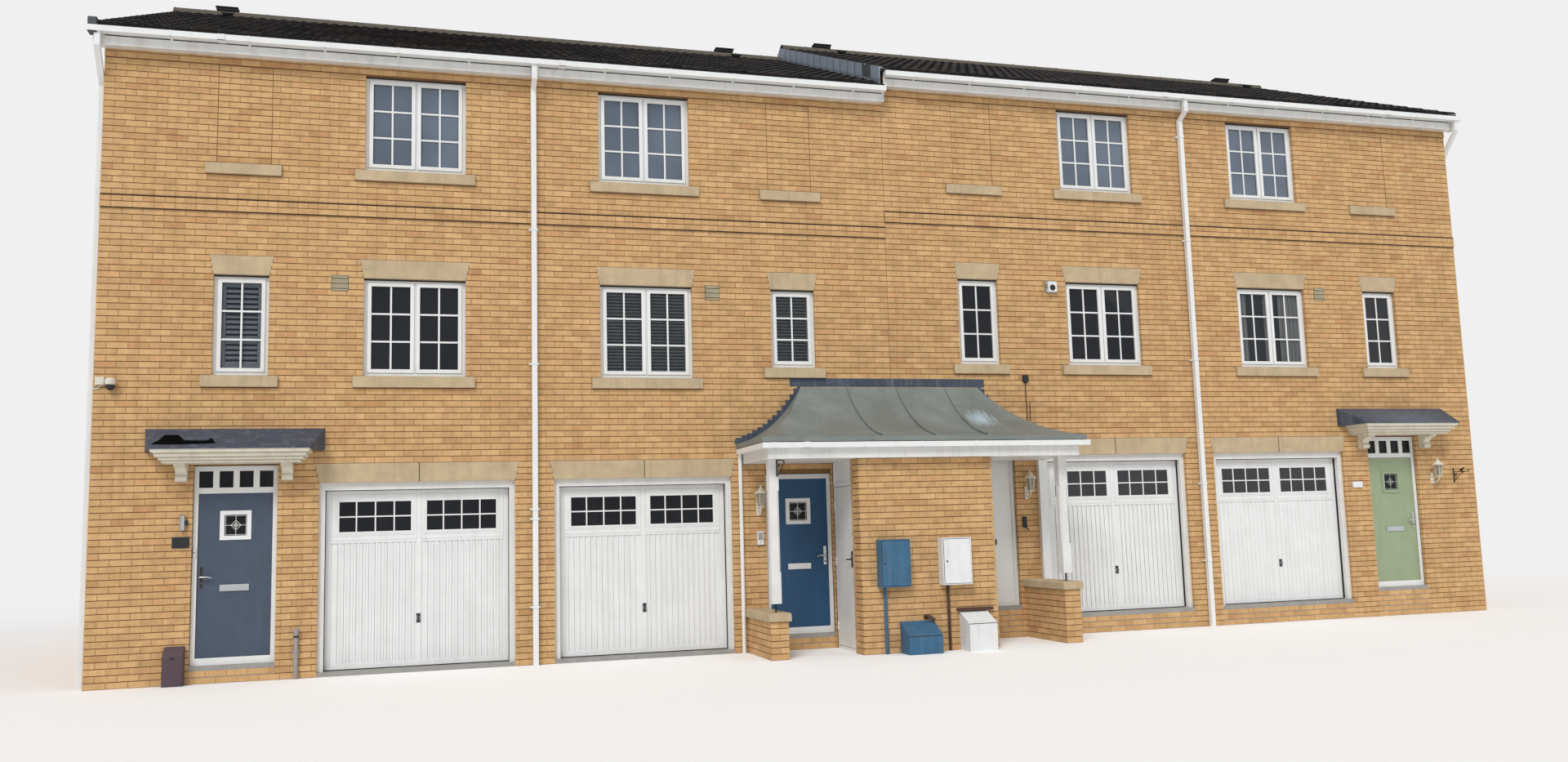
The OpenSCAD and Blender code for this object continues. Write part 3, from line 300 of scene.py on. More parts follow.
# Mottling, specks and rain streaks laid over a base colour
def buildSurfaceGroup():
    tree, given, out = newGroup(
        "weatheredSurface",
        [("Vector", "NodeSocketVector", None), ("Base", "NodeSocketColor", (0.5, 0.5, 0.5, 1)),
         ("Dirt", "NodeSocketColor", (0.1, 0.09, 0.08, 1)), ("Mottle", "NodeSocketFloat", 0.15),
         ("Mottle Scale", "NodeSocketFloat", 6.0), ("Specks", "NodeSocketFloat", 0.1),
         ("Speck Scale", "NodeSocketFloat", 120.0), ("Streaks", "NodeSocketFloat", 0.1)],
        [("Color", "NodeSocketColor"), ("Height", "NodeSocketFloat"), ("Mask", "NodeSocketFloat")])
    broad = noiseNode(tree, given.outputs["Vector"], given.outputs["Mottle Scale"], 5.0, 0.6)
    broadMask = rangeNode(tree, broad, 0.35, 0.7)
    lighter = mixColor(tree, 1.0, given.outputs["Base"], (1.16, 1.15, 1.13, 1), "MULTIPLY")
    darker = mixColor(tree, 1.0, given.outputs["Base"], (0.74, 0.73, 0.72, 1), "MULTIPLY")
    toned = mixColor(tree, broadMask, darker, lighter)
    colour = mixColor(tree, given.outputs["Mottle"], given.outputs["Base"], toned)
    fine = noiseNode(tree, given.outputs["Vector"], given.outputs["Speck Scale"], 2.0, 0.7)
    fineMask = mathNode(tree, "MULTIPLY", rangeNode(tree, fine, 0.56, 0.72), given.outputs["Specks"])
    colour = mixColor(tree, fineMask, colour, given.outputs["Dirt"])
    drawn = stretchNode(tree, given.outputs["Vector"], (9.0, 9.0, 0.7))
    streak = noiseNode(tree, drawn, 1.0, 5.0, 0.65)
    streakMask = mathNode(tree, "MULTIPLY", rangeNode(tree, streak, 0.5, 0.78), given.outputs["Streaks"])
    colour = mixColor(tree, streakMask, colour, given.outputs["Dirt"])
    tree.links.new(colour, out.inputs["Color"])
    tree.links.new(mathNode(tree, "ADD", broad, mathNode(tree, "MULTIPLY", fine, 0.35)), out.inputs["Height"])
    tree.links.new(mathNode(tree, "ADD", fineMask, streakMask, True), out.inputs["Mask"])
    return tree


surfaceGroup = buildSurfaceGroup()


def addPatch(tree, vector, colour, patch):
    shift = tree.nodes.new("ShaderNodeVectorMath")
    shift.operation = "SUBTRACT"
    tree.links.new(vector, shift.inputs[0])
    shift.inputs[1].default_value = patch["place"]
    scaled = stretchNode(tree, shift.outputs[0], [1 / side for side in patch["size"]])
    length = tree.nodes.new("ShaderNodeVectorMath")
    length.operation = "LENGTH"
    tree.links.new(scaled, length.inputs[0])
    brushed = noiseNode(tree, stretchNode(tree, vector, patch["grain"]), 1.0, 4.0, 0.7)
    edge = mathNode(tree, "ADD", length.outputs["Value"], mathNode(tree, "MULTIPLY", brushed, 1.3))
    mask = rangeNode(tree, edge, 0.85, 1.6, 0.9, 0.0)
    return mixColor(tree, mask, colour, (*patch["color"], 1))


# What a finish has where its own facts don't say otherwise
plainLook = {
    "color": (0.5, 0.5, 0.5), "dirt": (0.1, 0.09, 0.08), "mottle": 0.15, "mottleScale": 6.0,
    "specks": 0.1, "speckScale": 120.0, "streaks": 0.1,
    "rough": 0.6, "roughSpread": 0.12, "metal": 0.0, "specular": 0.4, "bump": 0.2, "bumpDepth": 0.002,
}


def newMaterial(name, ownFacts):
    facts = {**plainLook, **ownFacts}
    material = bpy.data.materials.new(name)
    material.use_nodes = True
    tree = material.node_tree
    shader = tree.nodes["Principled BSDF"]
    coords = tree.nodes.new("ShaderNodeTexCoord")
    group = tree.nodes.new("ShaderNodeGroup")
    group.node_tree = surfaceGroup
    tree.links.new(coords.outputs["Object"], group.inputs["Vector"])
    for label, key in (("Mottle", "mottle"), ("Mottle Scale", "mottleScale"), ("Specks", "specks"),
                       ("Speck Scale", "speckScale"), ("Streaks", "streaks")):
        group.inputs[label].default_value = facts[key]
    for label, key in (("Base", "color"), ("Dirt", "dirt")):
        group.inputs[label].default_value = (*facts[key], 1)
    if "tones" in facts:
        tone = tree.nodes.new("ShaderNodeAttribute")
        tone.attribute_name = "tone"
        ramp = tree.nodes.new("ShaderNodeValToRGB")
        while len(ramp.color_ramp.elements) < len(facts["tones"]):
            ramp.color_ramp.elements.new(0.5)
        for element, (place, colour) in zip(ramp.color_ramp.elements, facts["tones"]):
            element.position = place
            element.color = (*colour, 1)
        tree.links.new(tone.outputs["Fac"], ramp.inputs[0])
        tree.links.new(ramp.outputs[0], group.inputs["Base"])
    colour = group.outputs["Color"]
    if "patch" in facts:
        colour = addPatch(tree, coords.outputs["Object"], colour, facts["patch"])
    tree.links.new(colour, shader.inputs["Base Color"])
    shader.inputs["Metallic"].default_value = facts["metal"]
    shader.inputs["Specular IOR Level"].default_value = facts["specular"]
    least, most = facts["rough"] - facts["roughSpread"], facts["rough"] + facts["roughSpread"]
    tree.links.new(rangeNode(tree, group.outputs["Height"], 0.3, 1.0, least, most),
                   shader.inputs["Roughness"])
    bump = tree.nodes.new("ShaderNodeBump")
    bump.inputs["Strength"].default_value = facts["bump"]
    bump.inputs["Distance"].default_value = facts["bumpDepth"]
    tree.links.new(group.outputs["Height"], bump.inputs["Height"])
    tree.links.new(bump.outputs[0], shader.inputs["Normal"])
    return material


def glassMaterial(name, tint, cover):
    material = bpy.data.materials.new(name)
    material.use_nodes = True
    tree = material.node_tree
    shader = tree.nodes["Principled BSDF"]
    coords = tree.nodes.new("ShaderNodeTexCoord")
    ripple = noiseNode(tree, coords.outputs["Object"], 1.3, 2.0, 0.5)
    tree.links.new(mixColor(tree, rangeNode(tree, ripple, 0.3, 0.7), (*[c * 0.8 for c in tint], 1),
                            (*[c * 1.2 for c in tint], 1)), shader.inputs["Base Color"])
    shader.inputs["Roughness"].default_value = 0.02
    shader.inputs["IOR"].default_value = 1.5
    shader.inputs["Alpha"].default_value = cover
    return material


brickTones = [(0.0, (0.540, 0.334, 0.153)), (0.25, (0.582, 0.363, 0.166)), (0.5, (0.612, 0.386, 0.180)),
              (0.78, (0.648, 0.412, 0.198)), (0.93, (0.600, 0.354, 0.166)), (1.0, (0.515, 0.290, 0.132))]
tileTones = [(0.0, (0.009, 0.008, 0.009)), (0.5, (0.017, 0.015, 0.016)), (1.0, (0.034, 0.028, 0.025))]

looks = {
    "brick": dict(color=(0.6, 0.4, 0.2), tones=brickTones, dirt=(0.24, 0.14, 0.07), mottle=0.55,
        mottleScale=9.0, specks=0.35, speckScale=160.0, streaks=0.22, rough=0.85, bump=0.55,
        bumpDepth=0.003, specular=0.2),
    # The mortar is darkened with painted shade, as bed joints look in shade; the upright joints' fill below is
    # painted lighter, as lit
    "shadedMortar": dict(color=(0.225, 0.120, 0.052), dirt=(0.12, 0.075, 0.045), mottle=0.6, specks=0.3,
        speckScale=220.0, rough=0.9, bump=0.5, specular=0.15),
    "litMortar": dict(color=(0.455, 0.266, 0.118), dirt=(0.24, 0.14, 0.07), mottle=0.6, specks=0.3,
        speckScale=220.0, streaks=0.2, rough=0.9, bump=0.5, specular=0.15),
    # Painted shadow for the dark lines in the band's bed joints and in the garage heads' joints
    "jointShadow": dict(color=(0.060, 0.034, 0.020), dirt=(0.03, 0.02, 0.012), mottle=0.6, specks=0.3,
        rough=0.95, bump=0.3, specular=0.1),
    "stone": dict(color=(0.53, 0.415, 0.265), dirt=(0.20, 0.15, 0.09), mottle=0.5, mottleScale=4.0,
        specks=0.3, speckScale=150.0, streaks=0.3, rough=0.8, bump=0.35, specular=0.2),
    "upvc": dict(color=(0.78, 0.79, 0.78), dirt=(0.42, 0.40, 0.36), mottle=0.12, specks=0.04, streaks=0.16,
        rough=0.35, bump=0.05),
    "boards": dict(color=(0.74, 0.74, 0.72), dirt=(0.36, 0.35, 0.31), mottle=0.25, mottleScale=3.0,
        specks=0.08, streaks=0.4, rough=0.4, bump=0.06),
    "timberWhite": dict(color=(0.74, 0.74, 0.72), dirt=(0.33, 0.30, 0.25), mottle=0.22, mottleScale=5.0,
        specks=0.08, streaks=0.2, rough=0.45, bump=0.15),
    "garageWhite": dict(color=(0.78, 0.785, 0.78), dirt=(0.40, 0.38, 0.33), mottle=0.16, mottleScale=3.0,
        specks=0.05, streaks=0.22, rough=0.38, bump=0.06),
    "slateDoor": dict(color=(0.060, 0.082, 0.122), dirt=(0.20, 0.20, 0.20), mottle=0.3, rough=0.42,
        bump=0.12),
    "blueDoor": dict(color=(0.016, 0.075, 0.168), dirt=(0.12, 0.13, 0.14), mottle=0.3, rough=0.42,
        bump=0.12),
    "sageDoor": dict(color=(0.30, 0.37, 0.225), dirt=(0.18, 0.17, 0.12), mottle=0.25, rough=0.42,
        bump=0.12),
    "lead": dict(color=(0.048, 0.064, 0.098), dirt=(0.30, 0.31, 0.32), mottle=0.8, mottleScale=5.0,
        specks=0.2, speckScale=60.0, streaks=0.35, rough=0.55, bump=0.5, bumpDepth=0.006, patch={"place":
        (8.16, -4.72, 2.86), "size": (1.0, 0.6, 0.35), "grain": (9.0, 9.0, 9.0), "color": (0.115, 0.140,
        0.180)}),
    "sheet": dict(color=(0.195, 0.218, 0.205), dirt=(0.34, 0.36, 0.34), mottle=0.7, mottleScale=2.2,
        specks=0.2, speckScale=70.0, streaks=0.2, rough=0.5, bump=0.25, patch={"place": (1.05, -5.14, 2.99),
        "size": (0.26, 0.34, 0.24), "grain": (26.0, 3.0, 3.0), "color": (0.46, 0.58, 0.66)}),
    "tile": dict(color=(0.03, 0.026, 0.025), tones=tileTones, dirt=(0.24, 0.22, 0.17), mottle=0.6,
        mottleScale=14.0, specks=0.4, speckScale=70.0, rough=0.88, bump=0.8, bumpDepth=0.004, specular=0.2),
    "underTile": dict(color=(0.02, 0.018, 0.018), mottle=0.5, rough=0.9, bump=0.4),
    "ridge": dict(color=(0.105, 0.09, 0.07), dirt=(0.24, 0.23, 0.18), mottle=0.7, mottleScale=8.0,
        specks=0.4, speckScale=60.0, rough=0.85, bump=0.5),
    "verge": dict(color=(0.27, 0.31, 0.37), dirt=(0.28, 0.29, 0.30), mottle=0.5, specks=0.15, streaks=0.25,
        bump=0.25),
    "toothLead": dict(color=(0.19, 0.215, 0.245), dirt=(0.08, 0.085, 0.09), mottle=0.7, mottleScale=12.0,
        specks=0.3, bump=0.4),
    "vergeEnd": dict(color=(0.060, 0.064, 0.070), dirt=(0.22, 0.23, 0.23), mottle=0.6, specks=0.2),
    "concrete": dict(color=(0.33, 0.32, 0.30), mottle=0.5, specks=0.2, rough=0.8, bump=0.3),
    "boardsFloor": dict(color=(0.36, 0.26, 0.16), mottle=0.5),
    "galvanised": dict(color=(0.45, 0.46, 0.47), metal=0.85, mottle=0.5, mottleScale=30.0, rough=0.42,
        bump=0.1),
    "buffPlastic": dict(color=(0.36, 0.31, 0.20), dirt=(0.15, 0.12, 0.08), mottle=0.3, streaks=0.3,
        rough=0.55, bump=0.1),
    "blackPlastic": dict(color=(0.018, 0.018, 0.02), mottle=0.3, rough=0.45, bump=0.15),
    "blackIron": dict(color=(0.02, 0.02, 0.022), metal=0.3, mottle=0.4, specks=0.2, rough=0.5, bump=0.3),
    "chrome": dict(color=(0.62, 0.63, 0.65), metal=1.0, mottle=0.1, rough=0.22, roughSpread=0.06,
        bump=0.03),
    "bluePlastic": dict(color=(0.036, 0.125, 0.225), dirt=(0.20, 0.25, 0.30), mottle=0.45, mottleScale=4.0,
        specks=0.15, streaks=0.25, rough=0.5, bump=0.12),
    "whitePlastic": dict(color=(0.76, 0.77, 0.77), dirt=(0.38, 0.36, 0.31), mottle=0.2, mottleScale=4.0,
        specks=0.06, streaks=0.3, rough=0.45, bump=0.06),
    "greyPlastic": dict(color=(0.34, 0.32, 0.33), dirt=(0.18, 0.16, 0.15), mottle=0.4, specks=0.2,
        bump=0.15),
    "purplePlastic": dict(color=(0.085, 0.055, 0.070), dirt=(0.20, 0.17, 0.15), mottle=0.4, specks=0.2),
    "brownPipe": dict(color=(0.075, 0.035, 0.022), mottle=0.4, specks=0.15, rough=0.5, bump=0.1),
    "cream": dict(color=(0.70, 0.66, 0.55), dirt=(0.36, 0.31, 0.22), mottle=0.25, mottleScale=5.0,
        streaks=0.4, rough=0.45, bump=0.1),
    "netPane": dict(color=(0.034, 0.032, 0.037), mottle=0.5, mottleScale=2.0, specks=0.5, rough=0.25,
        bump=0.05),
    "darkPane": dict(color=(0.010, 0.011, 0.014), mottle=0.5, mottleScale=2.0, rough=0.12, roughSpread=0.05,
        bump=0.02, specular=0.25),
    "blind": dict(color=(0.40, 0.45, 0.45), mottle=0.25, bump=0.1),
    "whiteBlind": dict(color=(0.40, 0.45, 0.50), mottle=0.2, rough=0.55, bump=0.1),
    "curtain": dict(color=(0.42, 0.43, 0.42), mottle=0.35, mottleScale=12.0, rough=0.9, bump=0.3),
    "shadowGap": dict(color=(0.040, 0.037, 0.036), mottle=0.2, rough=0.8, bump=0.05),
    # Grey of painted shade, for the lines round the sashes and the pressings of the garage doors
    "lineShade": dict(color=(0.36, 0.37, 0.37), mottle=0.2, rough=0.5, bump=0.05),
    "lampGlass": dict(color=(0.30, 0.27, 0.20), mottle=0.5, mottleScale=20.0, rough=0.25, bump=0.05),
    # Black of painted shadow under the lifted lead
    "shadowVoid": dict(color=(0.003, 0.003, 0.004), dirt=(0.01, 0.01, 0.01), mottle=0.2, rough=0.95,
        bump=0.1, specular=0.03),
    # Black rubber of the gaskets, also used for painted shade in gaps and joints
    "rubberAndShade": dict(color=(0.02, 0.02, 0.02), mottle=0.3, rough=0.7, bump=0.1),
    "frosted": dict(color=(0.62, 0.62, 0.58), mottle=0.2, rough=0.35, bump=0.1),
}
mats = {name: newMaterial(name, facts) for name, facts in looks.items()}
mats["glass"] = glassMaterial("glass", (0.016, 0.018, 0.022), 0.72)
mats["clearGlass"] = glassMaterial("clearGlass", (0.030, 0.036, 0.044), 0.30)
# Pale blue-grey glass for the top-floor front windows: a painted reflection of the sky
mats["skyReflectionGlass"] = glassMaterial("skyReflectionGlass", (0.150, 0.185, 0.235), 0.78)


def dress(node, materials):
    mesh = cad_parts[node].data
    mesh.materials.clear()
    for material in materials:
        mesh.materials.append(mats[material])


dressing = {
    "left_front_wall": "shadedMortar", "right_front_wall": "shadedMortar", "front_piers": "shadedMortar",
    "left_rear_wall": "shadedMortar", "right_rear_wall": "shadedMortar", "end_walls": "shadedMortar",
    "party_walls": "shadedMortar", "ground_slabs": "concrete", "upper_floors": "boardsFloor",
    "left_roof": "underTile", "right_roof": "underTile", "ridge_tiles": "ridge",
    "roof_vents": "underTile", "verge_units": "verge", "lead_flashings": "lead",
    "eaves_boards": "boards", "gutters": "upvc", "downpipes": "upvc", "window_sills": "stone",
    "stone_lintels": "stone", "window_frames": "upvc", "window_glass": "darkPane",
    "air_vents": "buffPlastic", "door_frames": "upvc", "end_left_door": "slateDoor",
    "mid_left_door": "blueDoor", "mid_right_door": "upvc", "end_right_door": "sageDoor",
    "garage_frames": "timberWhite", "door_canopies": "cream", "porch_roof": "sheet",
    "porch_posts": "timberWhite", "porch_brickwork": "shadedMortar", "porch_copings": "stone",
    "left_store_door": "timberWhite", "right_store_door": "timberWhite",
    "left_meter_boxes": "bluePlastic", "right_meter_boxes": "whitePlastic",
}
for house in houses:
    dressing[house["node"] + "_garage_door"] = "garageWhite"
    dressing[house["node"] + "_rollers"] = "galvanised"
    dressing[house["node"] + "_tracks"] = "galvanised"
for node, look in dressing.items():
    dress(node, [look])
print("scene: materials made")


# Repeated pieces are instanced by one Geometry Nodes tree, then made real
def repeatTree():
    tree = bpy.data.node_groups.new("repeatShape", "GeometryNodeTree")
    tree.interface.new_socket(name="Places", in_out="INPUT", socket_type="NodeSocketGeometry")
    sockets = {}
    for key, label, kind in (("shape", "Shape", "Object"), ("seed", "Seed", "Int"),
                             ("look", "Material", "Material")):
        socket = tree.interface.new_socket(name=label, in_out="INPUT", socket_type="NodeSocket" + kind)
        sockets[key] = socket.identifier
    tree.interface.new_socket(name="Geometry", in_out="OUTPUT", socket_type="NodeSocketGeometry")
    given = tree.nodes.new("NodeGroupInput")
    out = tree.nodes.new("NodeGroupOutput")
    shape = tree.nodes.new("GeometryNodeObjectInfo")
    place = tree.nodes.new("GeometryNodeInstanceOnPoints")
    reads = {}
    for label in ("size", "turn"):
        reads[label] = tree.nodes.new("GeometryNodeInputNamedAttribute")
        reads[label].data_type = "FLOAT_VECTOR"
        reads[label].inputs["Name"].default_value = label
    pick = tree.nodes.new("FunctionNodeRandomValue")
    pick.data_type = "FLOAT"
    store = tree.nodes.new("GeometryNodeStoreNamedAttribute")
    store.data_type = "FLOAT"
    store.domain = "INSTANCE"
    store.inputs["Name"].default_value = "tone"
    real = tree.nodes.new("GeometryNodeRealizeInstances")
    paint = tree.nodes.new("GeometryNodeSetMaterial")
    link = tree.links.new
    link(given.outputs["Places"], place.inputs["Points"])
    link(given.outputs["Shape"], shape.inputs["Object"])
    link(shape.outputs["Geometry"], place.inputs["Instance"])
    link(reads["size"].outputs["Attribute"], place.inputs["Scale"])
    link(reads["turn"].outputs["Attribute"], place.inputs["Rotation"])
    link(place.outputs["Instances"], store.inputs["Geometry"])
    link(given.outputs["Seed"], pick.inputs["Seed"])
    link([o for o in pick.outputs if o.enabled and o.type == "VALUE"][0], store.inputs["Value"])
    link(store.outputs["Geometry"], real.inputs["Geometry"])
    link(real.outputs["Geometry"], paint.inputs["Geometry"])
    link(given.outputs["Material"], paint.inputs["Material"])
    link(paint.outputs["Geometry"], out.inputs["Geometry"])
    return tree, sockets


repeatGroup, repeatSockets = repeatTree()


def seedShape(name, verts, faces):
    mesh = bpy.data.meshes.new(name)
    mesh.from_pydata(verts, [], faces)
    return bpy.data.objects.new(name, mesh)


cubeShape = newShape()
addBox(cubeShape, (-0.5, -0.5, -0.5), (0.5, 0.5, 0.5))
brickSeed = seedShape("brickSeed", cubeShape["verts"], cubeShape["faces"])


def realPiece(name, places, sizes, seed, look, turns=None, shape=None, body="building"):
    mesh = bpy.data.meshes.new(name + "Places")
    mesh.from_pydata(places, [], [])
    for label, values in (("size", sizes), ("turn", turns or [(0, 0, 0)] * len(places))):
        attribute = mesh.attributes.new(label, "FLOAT_VECTOR", "POINT")
        attribute.data.foreach_set("vector", [c for v in values for c in v])
    holder = bpy.data.objects.new(name + "Places", mesh)
    bpy.context.scene.collection.objects.link(holder)
    modifier = holder.modifiers.new("lay", "NODES")
    modifier.node_group = repeatGroup
    modifier[repeatSockets["shape"]] = shape or brickSeed
    modifier[repeatSockets["seed"]] = seed
    modifier[repeatSockets["look"]] = mats[look]
    bpy.context.view_layer.update()
    laid = bpy.data.meshes.new_from_object(holder.evaluated_get(bpy.context.evaluated_depsgraph_get()))
    laid.name = name
    bpy.data.objects.remove(holder)
    piece = bpy.data.objects.new(name, laid)
    bpy.context.scene.collection.objects.link(piece)
    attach(piece, body)
    print("scene:", name, len(places), "repeats")
    return piece


def cutSpan(spans, low, high):
    left = []
    for a, b in spans:
        if high <= a or low >= b:
            left.append((a, b))
            continue
        if low > a:
            left.append((a, low))
        if high < b:
            left.append((high, b))
    return left


# Bricks: a course at a time, cut at the openings, with strips of lighter mortar behind each run, painted as
# lit, while the bed joints show mortar darkened with painted shade
brick = {
    "course": 0.075, "long": 0.225, "joint": 0.010,
    "least": 0.03,  # a shorter rest is joined to its neighbour
    "proud": 0.005, "deep": 0.053, "skin": 0.01,  # depth in cavity walls and on solid ones
    "stripBack": 0.0025,  # upright joints behind the bricks' face
}
band = {
    "foot": 5.475, "headers": 5.55, "top": 5.625, "eaves": 7.275, "wallTop": 7.585, "out": 0.015,
    "joints": ((5.469, 5.481), (5.616, 5.634)),  # dark lines of painted shadow in the bed joints at its foot and top
}
fills = {"places": [], "sizes": []}


# A place or size for a wall that runs along x or along y
def turned(wall, along, across, z):
    return (along, across, z) if wall["along"] == "x" else (across, along, z)


# How far a course of a banded wall stands out, and the length of its bricks
def bandAt(wall, z):
    if "level" not in wall:
        return 0.0, brick["long"]
    rise = z - wall["level"]
    out = band["out"] if band["foot"] < rise < band["top"] or rise > band["eaves"] else 0.0
    return out, brick["long"] / 2 if band["headers"] < rise < band["top"] else brick["long"]


# Free stretches of a course between openings, and between the slopes of a gable
def courseSpans(wall, low, high):
    middle = (low + high) / 2
    spans = [(wall["u0"], wall["u1"])]
    if "rake" in wall:
        reach = wall["rake"](middle)
        spans = [(max(wall["u0"], -reach), min(wall["u1"], reach))] if reach > 0.05 else []
    for u0, u1, z0, z1, lean, edge in wall["holes"]:
        if low < z1 - 0.003 and high > z0 + 0.003:
            grow = lean * (middle - z0) / (z1 - z0)
            spans = cutSpan(spans, u0 - grow + edge, u1 + grow - edge)
    return spans


def layCourses(wall, places, sizes):
    course, joint, least = brick["course"], brick["joint"], brick["least"]
    for k in range(round(wall["z0"] / course), math.ceil(wall["z1"] / course - 1e-6)):
        low = k * course + joint / 2
        high = min((k + 1) * course - joint / 2, wall["z1"])
        if high - low < 0.02:  # no room for a course
            continue
        middle = (low + high) / 2
        out, unit = bandAt(wall, middle)
        proud = brick["proud"] + out
        depth = proud + wall["deep"]
        plane = wall["plane"] + wall["out"] * (proud - depth / 2)
        strip = wall["plane"] + wall["out"] * (proud - brick["stripBack"] - (depth - 0.004) / 2)
        offset = wall.get("bond", 0.0) + (brick["long"] / 2 if k % 2 else 0.0)
        for a, b in courseSpans(wall, low, high):
            fills["places"].append(turned(wall, (a + b) / 2, strip, middle))
            fills["sizes"].append(turned(wall, b - a - 0.003, depth - 0.004, high - low - 0.001))
            n = math.floor((a - offset) / unit)
            while offset + n * unit + joint / 2 < b:
                left = offset + n * unit + joint / 2
                right = left + unit - joint
                n += 1
                if right - max(left, a) < least or b - left < least:
                    continue
                left = a if left - a < least + joint else left
                right = b if b - right < least + joint else right
                places.append(turned(wall, (left + right) / 2, plane, middle))
                sizes.append(turned(wall, right - left, depth, high - low))


# A hole is (u0, u1, z0, z1, lean of its ends, gap to the bricks)
def houseHole(house, x0, x1, z0, z1, lean=0.0, edge=0.002):
    a, b = sorted((acrossOf(house, x0), acrossOf(house, x1)))
    level = levelOf(house["pair"])
    return a, b, level + z0, level + z1, lean, edge


def stoneHead(house, x, wide, foot):
    return houseHole(house, x, x + wide, foot, foot + opening["lintel"], opening["splay"], -0.004)


# A window's opening, its stone sill and, under the top storey, its stone head
def windowHoles(house, x, wide, sill, head):
    over = opening["sillOver"]
    holes = [houseHole(house, x, x + wide, sill, head),
             houseHole(house, x - over, x + wide + over, sill - opening["sill"], sill, 0.0, -0.004)]
    return holes + ([stoneHead(house, x, wide, head)] if sill < opening["topSill"] else [])


# Windows of a house as (x, width, sill, head), with the bricked-up one left out
def windowsOf(house, rear=False):
    o = opening
    wide, narrow = (o["wideX"], o["wideW"]), (o["narrowX"], o["narrowW"])
    if rear:
        return [(*place, sill, sill + o["tall"]) for sill in (o["rearSill"], o["firstSill"], o["topSill"])
                for place in (wide, narrow)]
    head = o["firstSill"] + o["tall"]
    return [(*wide, o["firstSill"], head), (*narrow, house["narrowSill"], head),
            (*wide, o["topSill"], o["topSill"] + o["tall"])]


def blindWindow():
    return opening["narrowX"], opening["narrowW"], opening["topSill"], opening["topSill"] + opening["tall"]


def frontHoles(chosen):
    o = opening
    holes = []
    for house in chosen:
        for window in windowsOf(house) + [blindWindow()]:
            holes += windowHoles(house, *window)
        garageEnd = o["garageX"] + o["garageW"]
        holes += [houseHole(house, o["garageX"], garageEnd, o["garageFoot"], o["garageHead"]),
                  stoneHead(house, o["garageX"], o["garageW"], o["garageHead"]),
                  houseHole(house, o["doorX"], o["doorX"] + o["doorW"], o["doorFoot"], doorHead(house))]
    return holes


# Street or rear wall of one pair of houses
def longWall(pair, plane, out, holes):
    u0, u1 = sorted((pair * 0.003, pair * (row["half"] + 0.004)))
    return {"along": "x", "plane": plane, "out": out, "u0": u0, "u1": u1, "level": levelOf(pair), "z0": 0.0,
            "z1": band["wallTop"] + levelOf(pair), "holes": holes, "deep": brick["deep"]}


def layFronts():
    for pair, name in ((-1, "frontBricksLeft"), (1, "frontBricksRight")):
        places, sizes = [], []
        chosen = [h for h in houses if h["pair"] == pair]
        layCourses(longWall(pair, row["front"], -1, frontHoles(chosen)), places, sizes)
        for house in chosen:
            x, wide, sill, head = blindWindow()
            u0, u1, z0, z1 = houseHole(house, x, x + wide, sill, head)[:4]
            layCourses({"along": "x", "plane": row["front"] + 0.004, "out": -1,
                        "u0": u0 + 0.010, "u1": u1 - 0.010, "z0": z0, "z1": z1,
                        "holes": [], "deep": 0.03}, places, sizes)
        realPiece(name, places, sizes, 11 + pair, "brick")


def layRear():
    places, sizes = [], []
    holes = [hole for house in houses for window in windowsOf(house, True)
             for hole in windowHoles(house, *window)]
    for pair in (-1, 1):
        layCourses(longWall(pair, row["rear"], 1, holes), places, sizes)
    realPiece("rearBricks", places, sizes, 23, "brick")


def layGables():
    places, sizes = [], []
    rise = math.tan(math.radians(roof["pitch"]))
    for side in (-1, 1):
        ridgeZ = roof["under"] + levelOf(side) + row["rear"] * rise
        layCourses({"along": "y", "plane": side * row["half"], "out": side,
                    "u0": row["front"], "u1": row["rear"], "z0": 0.0, "z1": ridgeZ + 0.03,
                    "holes": [], "deep": brick["skin"], "bond": brick["long"] / 2,
                    "rake": lambda z, top=ridgeZ: (top - z) / rise + 0.06}, places, sizes)
    realPiece("gableBricks", places, sizes, 37, "brick")


def layPorch():
    places, sizes = [], []
    out = row["front"] - row["storeOut"]
    near = row["front"] - 0.006

    def lay(along, u0, u1, top, plane, way, bond=0.0):
        layCourses({"along": along, "u0": u0, "u1": u1, "z0": 0.0, "z1": top, "plane": plane, "out": way,
                    "bond": bond, "holes": [], "deep": brick["skin"]}, places, sizes)

    lay("x", -row["storeSide"], row["storeSide"], row["storeTop"], out, -1)
    for side in (-1, 1):
        for low, high in ((out - 0.004, out + 0.302), (row["front"] - 0.052, near)):  # both sides of its door
            lay("y", low, high, row["storeTop"], side * row["storeSide"], side, 0.06)
        top = row["dwarfTop"] + levelOf(side)
        for plane, way in ((row["dwarfIn"], -side), (row["dwarfOut"], side)):
            lay("y", out, near, top, side * plane, way, 0.03)
        ends = sorted((side * row["dwarfIn"], side * row["dwarfOut"]))
        lay("x", ends[0] - 0.004, ends[1] + 0.004, top, out, -1, ends[0] - 0.006)
    realPiece("porchBricks", places, sizes, 51, "brick")


